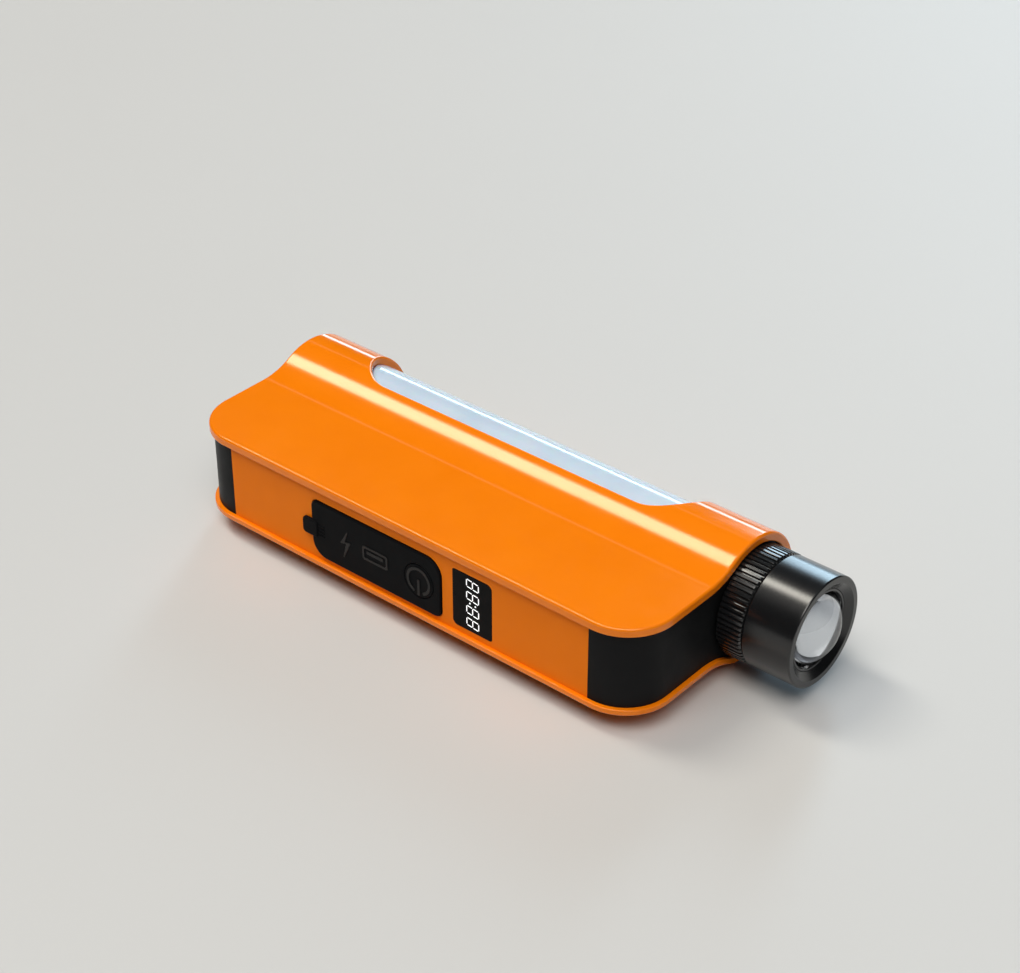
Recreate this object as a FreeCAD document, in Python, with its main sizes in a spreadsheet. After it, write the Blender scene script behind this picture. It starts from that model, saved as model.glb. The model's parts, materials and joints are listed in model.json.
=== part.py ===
import FreeCAD, Part
import math
import os

import Sketcher

# A pocket emergency radio: a flat body with a round barrel along its back edge.
# The barrel carries a zoom torch at one end, a loudspeaker at the other and a
# reading light along its top.  Millimetres, +Z up, +X towards the torch, -Y the
# display side.  The origin is the middle of the resting plane.

SIZES = {
    # outside
    "overall_length": 212.4,
    "shell_length": 205.2,
    "body_length": 180.0,
    "body_depth": 76.7,
    "corner_radius": 16.6,
    "lip_overhang": 1.4,
    "barrel_radius": 21.15,
    "axis_height": 21.95,
    "flat_half_height": 15.5,
    "blend_radius": 25.0,
    "top_wall": 3.0,
    "bottom_wall": 2.2,
    "rear_top": -1.0,
    "rear_low": -9.0,
    # band of panels and end caps between the covers
    "band_wall": 2.2,
    "seam_inset": 18.2,
    # light slot and diffuser
    "slot_left": -63.7,
    "slot_right": 37.7,
    "slot_half_width": 14.5,
    "slot_tilt": 28.0,
    "slot_rear": 77.0,
    "diffuser_front": -27.5,
    "diffuser_rear": 80.5,
    "diffuser_wall": 2.0,
    "diffuser_proud": 0.45,
    # rubber port flap and power key
    "flap_left": -49.0,
    "flap_hinge": -11.2,
    "flap_right": 3.8,
    "flap_low": 10.3,
    "flap_high": 30.3,
    "flap_wall": 1.8,
    "flap_proud": 0.8,
    "hinge_gap": 0.5,
    "corner_sharp": 2.2,
    "corner_round": 5.8,
    "recess_margin": 0.3,
    "key_centre": -4.6,
    "key_height": 20.2,
    "key_radius": 5.7,
    # display
    "display_left": 8.2,
    "display_width": 15.3,
    "display_low": 10.7,
    "display_height": 20.2,
    "window_sharp": 0.9,
    "window_round": 1.9,
    # torch head
    "bezel_radius": 17.6,
    "ring_radius": 17.8,
    "ring_front": 85.8,
    "tube_radius": 13.2,
    "bezel_recess_radius": 15.4,
    "lens_radius": 12.9,
    "lens_edge": 1.7,
    "lens_dome_radius": 14.1,
    "run_gap": 0.07,
    "free_gap": 0.3,
    # power and sound
    "cell_radius": 9.2,
    "cell_length": 65.0,
    "cell_y": -14.0,
    "cell_gap": 3.0,
    "speaker_radius": 15.5,
    "speaker_opening": 13.0,
    "speaker_pitch": 3.6,
    "speaker_slot": 1.6,
    "antenna_y": -4.0,
    "antenna_height": 30.4,
    "antenna_end": 20.0,
    "sleeve_radius": 3.2,
    "sleeve_bore": 2.7,
    "antenna_bore": 1.8,
    "antenna_tip": 2.8,
    "antenna_hole": 3.3,
    # fasteners, buttons and feet
    "screw_radius": 1.1,
    "screw_head": 2.3,
    "counterbore": 2.4,
    "counterbore_depth": 1.3,
    "boss_radius": 3.0,
    "button_radius": 2.5,
    "button_flange": 0.8,
    "foot_half_length": 20.0,
    "foot_half_width": 6.0,
    "foot_rear_height": 3.0,
}

DOC = FreeCAD.newDocument("EmergencyRadio")
SHEET = DOC.addObject("Spreadsheet::Sheet", "Sizes")
for row, (alias, number) in enumerate(SIZES.items(), start=1):
    SHEET.set(f"A{row}", alias)
    SHEET.set(f"B{row}", str(number))
    SHEET.setAlias(f"B{row}", alias)
DOC.recompute()


class Dim:
    """A size that keeps its value together with the sheet expression that gives it."""

    def __init__(self, value, text):
        self.value = value
        self.text = text

    def __add__(self, other):
        other = dim(other)
        return Dim(self.value + other.value, f"({self.text} + {other.text})")

    def __sub__(self, other):
        other = dim(other)
        return Dim(self.value - other.value, f"({self.text} - {other.text})")

    def __mul__(self, other):
        other = dim(other)
        return Dim(self.value * other.value, f"({self.text} * {other.text})")

    def __truediv__(self, other):
        other = dim(other)
        return Dim(self.value / other.value, f"({self.text} / {other.text})")

    def __radd__(self, other):
        return dim(other) + self

    def __rsub__(self, other):
        return dim(other) - self

    def __neg__(self):
        return dim(0.0) - self

    def root(self):
        return Dim(math.sqrt(self.value), f"sqrt({self.text})")


def dim(number):
    """A plain number as a Dim."""
    if isinstance(number, Dim):
        return number
    return Dim(float(number), f"({float(number)!r})")


S = {alias: Dim(number, f"Sizes.{alias}") for alias, number in SIZES.items()}

# Places that follow from the driving sizes.
BODY_LEFT = -S["shell_length"] / 2
BODY_RIGHT = BODY_LEFT + S["body_length"]
BEZEL_FRONT = S["shell_length"] / 2
FRONT = -S["body_depth"] / 2
AXIS_Y = S["body_depth"] / 2 - S["barrel_radius"]
AXIS_Z = S["axis_height"]
TOP_FLAT = AXIS_Z + S["flat_half_height"]
BOTTOM_FLAT = AXIS_Z - S["flat_half_height"]
PANEL_FACE = FRONT + S["lip_overhang"]
PANEL_BACK = PANEL_FACE + S["band_wall"]
PANEL_TOP = TOP_FLAT - S["top_wall"]
PANEL_LOW = BOTTOM_FLAT + S["bottom_wall"]
CAP_LEFT = BODY_LEFT + S["lip_overhang"]
CAP_RIGHT = BODY_RIGHT - S["lip_overhang"]
SEAM_LEFT = BODY_LEFT + S["seam_inset"]
SEAM_RIGHT = BODY_RIGHT - S["seam_inset"]
REAR_FACE = AXIS_Y + 18.9
REAR_BACK = REAR_FACE - S["band_wall"]
REAR_Z = (AXIS_Z + S["rear_low"], AXIS_Z + S["rear_top"])
FLAP_FACE = PANEL_FACE - S["flap_proud"]
FLAP_BACK = FLAP_FACE + S["flap_wall"]

BOARD_WALL = 1.6
BOARD_FRONT = PANEL_BACK + 3.6
BOARD_BACK = BOARD_FRONT + BOARD_WALL
BOARD_X = (-78.0, 52.0)
BOARD_EDGE = 1.2
USB_A_X = (-32.6, -19.4)
USB_A_Z = (AXIS_Z - 3.0, AXIS_Z + 3.0)
USB_C_X = (-45.0, -35.8)
USB_C_Z = (AXIS_Z - 1.7, AXIS_Z + 1.7)
WINDOW_X = (S["display_left"], S["display_left"] + S["display_width"])
WINDOW_Z = (S["display_low"], S["display_low"] + S["display_height"])
WINDOW_RADII = [S["window_round"], S["window_sharp"]] * 2

NODES = {}


def node(name, thing):
    """Registers a finished sub-part under its own name."""
    thing.Label = name
    NODES[name] = thing
    return thing


def place(thing, x, y, z):
    """Binds where a thing stands."""
    for letter, where in zip("xyz", (x, y, z)):
        thing.setExpression(f"Placement.Base.{letter}", dim(where).text)
    return thing


def block(name, x, y, z):
    """A box; x, y and z are each a (low, high) pair."""
    box = DOC.addObject("Part::Box", name)
    for side, (low, high) in zip(("Length", "Width", "Height"), (x, y, z)):
        box.setExpression(side, (dim(high) - low).text)
    return place(box, x[0], y[0], z[0])


TURNS = {
    "x": FreeCAD.Rotation(FreeCAD.Vector(0, 1, 0), 90),
    "y": FreeCAD.Rotation(FreeCAD.Vector(1, 0, 0), -90),
    "z": FreeCAD.Rotation(),
}


def rod(name, along, start, stop, first, second, radius):
    """A cylinder along x, y or z from start to stop; first and second place its axis."""
    cylinder = DOC.addObject("Part::Cylinder", name)
    cylinder.Placement = FreeCAD.Placement(FreeCAD.Vector(), TURNS[along])
    cylinder.setExpression("Radius", dim(radius).text)
    cylinder.setExpression("Height", (dim(stop) - start).text)
    spots = {
        "x": (start, first, second),
        "y": (first, start, second),
        "z": (first, second, start),
    }
    return place(cylinder, *spots[along])


def axis_rod(name, start, stop, radius):
    """A cylinder on the barrel axis."""
    return rod(name, "x", start, stop, AXIS_Y, AXIS_Z, radius)


def cut(name, base, *tools):
    """Base with every tool taken away."""
    for number, tool in enumerate(tools):
        made = DOC.addObject("Part::Cut", f"{name}_cut{number}")
        made.Base = base
        made.Tool = tool
        base = made
    return base


def join(name, *things):
    """Several things as one; pieces that don't touch stay separate solids."""
    fused = DOC.addObject("Part::MultiFuse", name)
    fused.Shapes = list(things)
    return fused


def common(name, *things):
    """What all the things share."""
    shared = DOC.addObject("Part::MultiCommon", name)
    shared.Shapes = list(things)
    return shared


def bulge(start, end, radius, side):
    """The middle point of the minor arc from start to end, on the given side of the chord."""
    middle = (start + end) * 0.5
    chord = end - start
    sag = radius - math.sqrt(max(radius**2 - (chord.Length / 2) ** 2, 0.0))
    across = FreeCAD.Vector(-chord.y, chord.x, 0).normalize()
    return middle + across * sag * side


def outline(body, role, name, points, arcs=None):
    """A closed sketch on an origin plane.  Every corner is bound to the sheet.

    arcs maps the number of an edge to (radius, side); the side is +1 where the arc
    bulges to the left of its direction of travel and -1 to the right."""
    arcs = arcs or {}
    plane = next(f for f in body.Origin.OriginFeatures if f.Role == role)
    sketch = body.newObject("Sketcher::SketchObject", name)
    sketch.AttachmentSupport = [(plane, "")]
    sketch.MapMode = "FlatFace"
    corners = [FreeCAD.Vector(dim(u).value, dim(v).value, 0) for u, v in points]
    starts, ends = [], []
    for edge, corner in enumerate(corners):
        following = corners[(edge + 1) % len(corners)]
        if edge in arcs:
            radius, side = arcs[edge]
            middle = bulge(corner, following, dim(radius).value, side)
            sketch.addGeometry(Part.Arc(corner, middle, following), False)
            radius_at = sketch.addConstraint(Sketcher.Constraint("Radius", edge, dim(radius).value))
            sketch.setExpression(f"Constraints[{radius_at}]", dim(radius).text)
        else:
            sketch.addGeometry(Part.LineSegment(corner, following), False)
        forward = (sketch.getPoint(edge, 1) - corner).Length < 1e-6
        starts.append(1 if forward else 2)
        ends.append(2 if forward else 1)
    for edge, (u, v) in enumerate(points):
        before = (edge - 1) % len(points)
        sketch.addConstraint(Sketcher.Constraint("Coincident", before, ends[before], edge, starts[edge]))
        for kind, where in (("DistanceX", u), ("DistanceY", v)):
            number = sketch.addConstraint(
                Sketcher.Constraint(kind, -1, 1, edge, starts[edge], dim(where).value)
            )
            sketch.setExpression(f"Constraints[{number}]", dim(where).text)
    return sketch


def padded(name, role, points, length, arcs=None):
    """A body made by padding one outline."""
    body = DOC.addObject("PartDesign::Body", name)
    sketch = outline(body, role, f"{name}_outline", points, arcs)
    pad = body.newObject("PartDesign::Pad", f"{name}_pad")
    pad.Profile = sketch
    pad.setExpression("Length", dim(length).text)
    return body


def rounded_plate(name, x, y, z, radii):
    """A plate seen from the front, with a radius for each corner.

    x, y and z are (low, high) pairs; radii are low left, low right, high right and
    high left, and None leaves a corner square."""
    left, right = dim(x[0]), dim(x[1])
    low, high = dim(z[0]), dim(z[1])
    spots = [(left, low, 1, 1), (right, low, -1, 1), (right, high, -1, -1), (left, high, 1, -1)]
    points = []
    arcs = {}
    for number, ((u, v, inward, upward), radius) in enumerate(zip(spots, radii)):
        if radius is None:
            points.append((u, v))
            continue
        beside = (u + radius * inward, v)
        above = (u, v + radius * upward)
        arcs[len(points)] = (radius, -1)
        points += [above, beside] if number % 2 == 0 else [beside, above]
    body = padded(name, "XZ_Plane", points, dim(y[1]) - y[0], arcs)
    return place(body, 0, y[1], 0)


def turned(name, points, arcs=None, y=AXIS_Y, z=AXIS_Z):
    """A body turned about a line along X; points are (x, radius) pairs."""
    body = DOC.addObject("PartDesign::Body", name)
    sketch = outline(body, "XY_Plane", f"{name}_outline", points, arcs)
    turn = body.newObject("PartDesign::Revolution", f"{name}_turn")
    turn.Profile = sketch
    turn.ReferenceAxis = (sketch, ["H_Axis"])
    turn.Angle = 360
    return place(body, 0, y, z)


# ---------------------------------------------------------------- outside shapes


def s_curve(side, inset):
    """The S-shaped section line of a cover, inset from the outside.

    It runs from the front edge along the flat, through the hollow and over the barrel
    to the rear seam.  Returns its corners and the radii of its two arcs."""
    flat = S["flat_half_height"] - inset
    hollow = S["blend_radius"] + inset
    barrel = S["barrel_radius"] - inset
    reach = hollow + barrel
    rise = flat + hollow
    run = (reach * reach - rise * rise).root()
    share = barrel / reach
    end = S["rear_top"] if side > 0 else S["rear_low"]
    corners = [
        (FRONT, AXIS_Z + flat * side),
        (AXIS_Y - run, AXIS_Z + flat * side),
        (AXIS_Y - run * share, AXIS_Z + rise * share * side),
        (AXIS_Y, AXIS_Z + barrel * side),
        (AXIS_Y + (barrel * barrel - end * end).root(), AXIS_Z + end),
    ]
    return corners, hollow, barrel


def cover_band(name, side, wall):
    """The full-length S-shaped band of one cover, before its corners are rounded."""
    outer, outer_hollow, outer_barrel = s_curve(side, dim(0.0))
    inner, inner_hollow, inner_barrel = s_curve(side, wall)
    points = outer + inner[::-1]
    arcs = {
        1: (outer_hollow, -side),
        2: (outer_barrel, side),
        3: (outer_barrel, side),
        5: (inner_barrel, side * -1),
        6: (inner_barrel, side * -1),
        7: (inner_hollow, side),
    }
    band = padded(name, "YZ_Plane", points, S["body_length"], arcs)
    return place(band, BODY_LEFT, 0, 0)


def plan_block(name, inset):
    """The plan outline of the body as a tall block, with rounded front corners."""
    left = BODY_LEFT + inset
    right = BODY_RIGHT - inset
    front = FRONT + inset
    rear = S["body_depth"] / 2 + 1.0
    radius = S["corner_radius"] - inset
    points = [
        (left + radius, front),
        (right - radius, front),
        (right, front + radius),
        (right, rear),
        (left, rear),
        (left, front + radius),
    ]
    return padded(name, "XY_Plane", points, AXIS_Z * 2 + 2.0, {1: (radius, -1), 5: (radius, -1)})


def cavity(name, left, right, front):
    """The space between the covers, from left to right, as one solid."""
    top, top_hollow, top_barrel = s_curve(1, S["top_wall"])
    low, low_hollow, low_barrel = s_curve(-1, S["bottom_wall"])
    top[0] = (front, top[0][1])
    low[0] = (front, low[0][1])
    points = top + low[::-1]
    arcs = {
        1: (top_hollow, -1),
        2: (top_barrel, 1),
        3: (top_barrel, 1),
        5: (low_barrel, 1),
        6: (low_barrel, 1),
        7: (low_hollow, -1),
    }
    body = padded(name, "YZ_Plane", points, dim(right) - left, arcs)
    return place(body, left, 0, 0)


SCREW_SPOTS = [(x, y) for x in (-86.0, 67.0) for y in (-25.0, -11.0)]
PILOT_DEPTH = 12.0
SCREW_DEPTH = 10.0


def tilted_box(name, tilt, x, across, out):
    """A box at the barrel axis, turned back by the tilt; each range is (low, high)."""
    angle = math.radians(tilt)
    box = DOC.addObject("Part::Box", name)
    box.Placement = FreeCAD.Placement(
        FreeCAD.Vector(), FreeCAD.Rotation(FreeCAD.Vector(1, 0, 0), -tilt)
    )
    for side, (low, high) in zip(("Length", "Width", "Height"), (x, across, out)):
        box.setExpression(side, (dim(high) - low).text)
    low, inner = dim(across[0]), dim(out[0])
    return place(
        box,
        x[0],
        AXIS_Y + low * math.cos(angle) + inner * math.sin(angle),
        AXIS_Z - low * math.sin(angle) + inner * math.cos(angle),
    )


FAR = 40.0


def wedge(name, x, front, rear):
    """The space between two half-planes that leave the barrel axis at the given tilts."""
    ahead = tilted_box(f"{name}_ahead", front, x, (0.0, FAR), (-FAR, FAR))
    behind = tilted_box(f"{name}_behind", rear, x, (-FAR, 0.0), (-FAR, FAR))
    return common(name, ahead, behind)


def slot_tool(name, margin):
    """The light slot as a solid that leans back from the barrel axis, smaller by the margin.

    Seen along its tilt the slot is a bar with round ends, and from its middle line it
    carries on at full length round the back of the barrel."""
    half = S["slot_half_width"] - margin
    bar = [rod(f"{name}_{end}", "z", 0, FAR, S[end], 0, half) for end in ("slot_left", "slot_right")]
    bar.append(block(f"{name}_middle", (S["slot_left"], S["slot_right"]), (-half, half), (0, FAR)))
    leaning = join(f"{name}_bar", *bar)
    tilt = SIZES["slot_tilt"]
    leaning.Placement = FreeCAD.Placement(FreeCAD.Vector(), FreeCAD.Rotation(FreeCAD.Vector(1, 0, 0), -tilt))
    place(leaning, 0, AXIS_Y, AXIS_Z)
    rear = SIZES["slot_rear"] - math.degrees(margin / SIZES["barrel_radius"])
    span = (S["slot_left"] - half, S["slot_right"] + half)
    return join(name, leaning, wedge(f"{name}_back", span, tilt, rear))


def top_cover():
    """Upper shell: lip, S-curve and barrel roof, with the light slot and four screw posts."""
    shell = common("top_shell", cover_band("top_band", 1, S["top_wall"]), plan_block("top_plan", 0.0))
    shell = cut("top_open", shell, slot_tool("slot_tool", 0.0))
    posts = []
    pilots = []
    for number, (x, y) in enumerate(SCREW_SPOTS):
        posts.append(rod(f"post{number}", "z", PANEL_LOW, PANEL_TOP + 0.5, x, y, S["boss_radius"]))
        pilots.append(rod(f"pilot{number}", "z", PANEL_LOW, PANEL_LOW + PILOT_DEPTH, x, y, S["screw_radius"]))
    node("top_cover", cut("top_cover", join("top_posted", shell, *posts), *pilots))


def bottom_cover():
    """Lower shell with the same S-curve mirrored, and four counterbored screw holes."""
    band = cover_band("bottom_band", -1, S["bottom_wall"])
    shell = common("bottom_shell", band, plan_block("bottom_plan", 0.0))
    seat = BOTTOM_FLAT + S["counterbore_depth"]
    tools = []
    for number, (x, y) in enumerate(SCREW_SPOTS):
        tools.append(rod(f"clear{number}", "z", BOTTOM_FLAT - 1, PANEL_LOW + 1, x, y, S["screw_radius"]))
        tools.append(rod(f"bore{number}", "z", BOTTOM_FLAT - 1, seat, x, y, S["counterbore"]))
    node("bottom_cover", cut("bottom_cover", shell, *tools))


def housing_screws():
    """Four pan-head screws that pull the covers together."""
    seat = BOTTOM_FLAT + S["counterbore_depth"]
    screws = []
    for number, (x, y) in enumerate(SCREW_SPOTS):
        screws.append(rod(f"head{number}", "z", BOTTOM_FLAT + 0.1, seat, x, y, S["screw_head"]))
        screws.append(rod(f"shank{number}", "z", seat, PANEL_LOW + SCREW_DEPTH, x, y, S["screw_radius"]))
    node("housing_screws", join("housing_screws", *screws))


def end_cap(name, left, right, hollow_left, hollow_right, *tools):
    """One black end of the band: the cavity's section, hollowed from the inside."""
    solid = common(
        f"{name}_solid",
        cavity(f"{name}_section", left, right, PANEL_FACE),
        plan_block(f"{name}_plan", S["lip_overhang"]),
    )
    hollow = common(
        f"{name}_hollow",
        block(f"{name}_inside", (hollow_left, hollow_right), (FRONT, REAR_BACK), (0, AXIS_Z * 2)),
        plan_block(f"{name}_inner", S["lip_overhang"] + S["band_wall"]),
    )
    rear_wall = block(f"{name}_rear", (left, right), (REAR_BACK, REAR_FACE), REAR_Z)
    node(name, cut(name, join(f"{name}_walls", cut(f"{name}_open", solid, hollow), rear_wall), *tools))


def end_caps():
    """Left cap with the speaker slots and the antenna hole; right cap with the torch hole."""
    through = (CAP_LEFT - 1, CAP_LEFT + 4)
    opening = S["speaker_opening"]
    slots = []
    for number in range(-3, 4):
        offset = S["speaker_pitch"] * number
        reach = (opening * opening - offset * offset).root()
        across = (AXIS_Y + offset - S["speaker_slot"] / 2, AXIS_Y + offset + S["speaker_slot"] / 2)
        slots.append(block(f"speaker_slot{number + 3}", through, across, (AXIS_Z - reach, AXIS_Z + reach)))
    antenna_hole = rod(
        "antenna_hole", "x", *through, S["antenna_y"], S["antenna_height"], S["antenna_hole"]
    )
    wall = S["band_wall"]
    end_cap("left_end_cap", CAP_LEFT, SEAM_LEFT, CAP_LEFT + wall, SEAM_LEFT + 1, *slots, antenna_hole)
    torch_hole = axis_rod("torch_hole", CAP_RIGHT - 4, CAP_RIGHT + 1, S["tube_radius"])
    end_cap("right_end_cap", SEAM_RIGHT, CAP_RIGHT, SEAM_RIGHT - 1, CAP_RIGHT - wall, torch_hole)


def front_panel():
    """Display side: a plate with the flap recess, port holes and the display window."""
    plate = block("panel_plate", (SEAM_LEFT, SEAM_RIGHT), (PANEL_FACE, PANEL_BACK), (PANEL_LOW, PANEL_TOP))
    margin = S["recess_margin"]
    recess = rounded_plate(
        "flap_recess",
        (S["flap_left"] - margin, S["flap_right"] + margin),
        (PANEL_FACE - 1, FLAP_BACK + 0.2),
        (S["flap_low"] - margin, S["flap_high"] + margin),
        [S["corner_round"] + margin, S["corner_sharp"] + margin] * 2,
    )
    key_hole = rod(
        "key_hole", "y", PANEL_FACE, PANEL_BACK + 1, S["key_centre"], S["key_height"], S["key_radius"] + 0.4
    )
    through = (PANEL_FACE - 1, PANEL_BACK + 1)
    window_hole = rounded_plate("window_hole", WINDOW_X, through, WINDOW_Z, WINDOW_RADII)
    holes = [
        block("usb_a_hole", USB_A_X, (PANEL_FACE, PANEL_BACK + 1), USB_A_Z),
        block("usb_c_hole", USB_C_X, (PANEL_FACE, PANEL_BACK + 1), USB_C_Z),
    ]
    node("front_panel", cut("front_panel", plate, recess, key_hole, window_hole, *holes))


REAR_BUTTONS = {"tune_down_button": -42.0, "tune_up_button": -28.0, "mode_button": -14.0}
BUTTON_Z = (REAR_Z[0] + REAR_Z[1]) / 2
BUTTON_FACE = REAR_FACE + 1.4
BUTTON_BOARD = REAR_BACK - 5.0


def rear_panel():
    """Back strip between the covers, with holes for the three control buttons."""
    plate = block("rear_plate", (SEAM_LEFT, SEAM_RIGHT), (REAR_BACK, REAR_FACE), REAR_Z)
    reach = S["button_radius"] + S["free_gap"]
    holes = [
        rod(f"{name}_hole", "y", REAR_BACK - 1, REAR_FACE + 1, x, BUTTON_Z, reach)
        for name, x in REAR_BUTTONS.items()
    ]
    node("rear_panel", cut("rear_panel", plate, *holes))


def rear_buttons():
    """Three flanged push buttons, each with its switch behind it."""
    wide = S["button_radius"] + S["button_flange"]
    flange_depth = (REAR_BACK - 1.6, REAR_BACK - S["free_gap"])
    for name, x in REAR_BUTTONS.items():
        cap = rod(f"{name}_cap", "y", REAR_BACK - 1.0, BUTTON_FACE, x, BUTTON_Z, S["button_radius"])
        flange = rod(f"{name}_flange", "y", *flange_depth, x, BUTTON_Z, wide)
        node(name, join(name, cap, flange))
    board_z = (BUTTON_Z - 5.0, BUTTON_Z + 5.0)
    node("button_board", block("rear_board", (-50.0, -6.0), (BUTTON_BOARD - 1.2, BUTTON_BOARD), board_z))
    half = 2.5
    depth = (BUTTON_BOARD, BUTTON_BOARD + 2.0)
    height = (BUTTON_Z - half, BUTTON_Z + half)
    switches = [
        block(f"{name}_switch", (x - half, x + half), depth, height) for name, x in REAR_BUTTONS.items()
    ]
    node("button_switches", join("button_switches", *switches))


DIFFUSER_END = 1.5
DIFFUSER_GAP = 0.15
LIGHT_BOARD = 6.0
LIGHT_LAMP = 7.2
LAMP_PITCH = 9.6


def light():
    """Diffuser under the slot, raised where it fills the slot, with its strip of lamps."""
    radius = S["barrel_radius"] - S["top_wall"]
    reach = S["slot_half_width"] + DIFFUSER_END
    left = S["slot_left"] - reach
    right = S["slot_right"] + reach
    outer = axis_rod("diffuser_outer", left, right, radius)
    inner = axis_rod("diffuser_inner", left - 1.0, right + 1.0, radius - S["diffuser_wall"])
    sector = wedge("diffuser_sector", (left, right), SIZES["diffuser_front"], SIZES["diffuser_rear"])
    sheet = common("diffuser_sheet", cut("diffuser_shell", outer, inner), sector)
    full = axis_rod("diffuser_full", left, right, radius + S["diffuser_proud"])
    core = axis_rod("diffuser_core", left - 1.0, right + 1.0, radius - 1.0)
    lens = common("diffuser_lens", cut("diffuser_ring", full, core), slot_tool("diffuser_slot", DIFFUSER_GAP))
    node("light_diffuser", join("light_diffuser", sheet, lens))
    tilt = SIZES["slot_tilt"]
    board = tilted_box("light_board", tilt, (-70.0, 46.0), (-5.0, 5.0), (LIGHT_BOARD, LIGHT_LAMP))
    node("light_board", board)
    lamps = []
    depth = (LIGHT_LAMP, LIGHT_LAMP + 1.0)
    for number in range(12):
        start = -65.0 + LAMP_PITCH * number
        lamps.append(tilted_box(f"lamp{number}", tilt, (start, start + 3.0), (-1.5, 1.5), depth))
    node("light_lamps", join("light_lamps", *lamps))


# ---------------------------------------------------------------- rubber and ports

TAB_OUT = 3.7
TAB_OVERLAP = 3.0
TAB_Z = (17.2, 23.0)
SWITCH_HALF = 3.0


def port_rubber():
    """The flap over the ports with its pull tab, the fixed surround and the power key."""
    height = (S["flap_low"], S["flap_high"])
    depth = (FLAP_FACE, FLAP_BACK)
    flap_edge = S["flap_hinge"] - S["hinge_gap"]
    radii = [S["corner_round"], None, None, S["corner_sharp"]]
    plate = rounded_plate("flap_plate", (S["flap_left"], flap_edge), depth, height, radii)
    tab_x = (S["flap_left"] - TAB_OUT, S["flap_left"] + TAB_OVERLAP)
    tab = block("flap_tab", tab_x, (FRONT + 0.1, PANEL_FACE - 0.2), TAB_Z)
    node("port_flap", join("port_flap", plate, tab))
    surround = rounded_plate(
        "surround_plate",
        (S["flap_hinge"], S["flap_right"]),
        depth,
        height,
        [None, S["corner_sharp"], S["corner_round"], None],
    )
    x = S["key_centre"]
    z = S["key_height"]
    hole = S["key_radius"] + S["free_gap"]
    opening = rod("surround_hole", "y", FLAP_FACE - 1, FLAP_BACK + 1, x, z, hole)
    node("key_surround", cut("key_surround", surround, opening))
    key = rod("key_disc", "y", FLAP_FACE, FLAP_BACK + 0.6, x, z, S["key_radius"])
    stem = rod("key_stem", "y", FLAP_BACK + 0.6, PANEL_BACK + 0.2, x, z, 2.0)
    node("power_key", join("power_key", key, stem))
    width = (x - SWITCH_HALF, x + SWITCH_HALF)
    tall = (z - SWITCH_HALF, z + SWITCH_HALF)
    node("power_switch", block("power_switch", width, (PANEL_BACK + 1.2, BOARD_FRONT), tall))


SOCKET_WALL = 0.3


def socket(name, x, z, wall, tongue):
    """A port's metal shell, open to the front, with its contact tongue."""
    front = FLAP_BACK + S["free_gap"]
    shell = block(f"{name}_shell", x, (front, BOARD_FRONT), z)
    inside = block(
        f"{name}_inside",
        (dim(x[0]) + wall, dim(x[1]) - wall),
        (front - 1, BOARD_FRONT - 0.4),
        (z[0] + wall, z[1] - wall),
    )
    blade = block(
        f"{name}_blade",
        (dim(x[0]) + wall + 1.0, dim(x[1]) - wall - 1.0),
        (front + 0.8, BOARD_FRONT),
        (AXIS_Z - tongue / 2, AXIS_Z + tongue / 2),
    )
    node(name, join(name, cut(f"{name}_open", shell, inside), blade))


def electronics():
    """Main board behind the display side with its ports and display."""
    board_z = (PANEL_LOW + BOARD_EDGE, PANEL_TOP - BOARD_EDGE)
    node("main_board", block("board_plate", BOARD_X, (BOARD_FRONT, BOARD_BACK), board_z))
    socket("usb_a_socket", USB_A_X, USB_A_Z, SOCKET_WALL, 1.8)
    socket("usb_c_socket", USB_C_X, USB_C_Z, SOCKET_WALL, 0.8)
    glass_back = PANEL_FACE + 1.4
    glass = rounded_plate("display_window", WINDOW_X, (PANEL_FACE - 0.1, glass_back), WINDOW_Z, WINDOW_RADII)
    node("display_window", glass)
    inside = [(low + 1.0, high - 1.0) for low, high in (WINDOW_X, WINDOW_Z)]
    node("display_module", block("display_module", inside[0], (glass_back, BOARD_FRONT), inside[1]))
    chips = [
        block(f"chip{number}", (x, x + 7.0), (BOARD_BACK, BOARD_BACK + 1.2), (12.0, 19.0))
        for number, x in enumerate((-60.0, -45.0, 24.0))
    ]
    node("board_chips", join("board_chips", *chips))


# ---------------------------------------------------------------- power and reception


def battery():
    """Two rechargeable cells end to end in a tray, with spring contacts."""
    left = dim(-72.0)
    first_end = left + S["cell_length"]
    second = first_end + S["cell_gap"]
    right = second + S["cell_length"]
    y = S["cell_y"]
    contact = 1.0
    tray_end = 2.6
    for name, start, end in (("left_cell", left, first_end), ("right_cell", second, right)):
        node(name, rod(name, "x", start, end, y, AXIS_Z, S["cell_radius"]))
    tray = block("tray_block", (left - tray_end, right + tray_end), (y - 6.0, y + 6.0), (PANEL_LOW, AXIS_Z))
    bed = rod("tray_bed", "x", left - contact, right + contact, y, AXIS_Z, S["cell_radius"])
    node("battery_tray", cut("battery_tray", tray, bed))
    spans = {"left": (left - contact, left), "middle": (first_end, second), "right": (right, right + contact)}
    contacts = [rod(f"contact_{name}", "x", *span, y, AXIS_Z, 4.0) for name, span in spans.items()]
    node("battery_contacts", join("battery_contacts", *contacts))


TUNER_LOW = 11.0
TUNER_TOP = 12.6
FERRITE_Z = 14.0
FERRITE_RADIUS = 4.0


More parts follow.
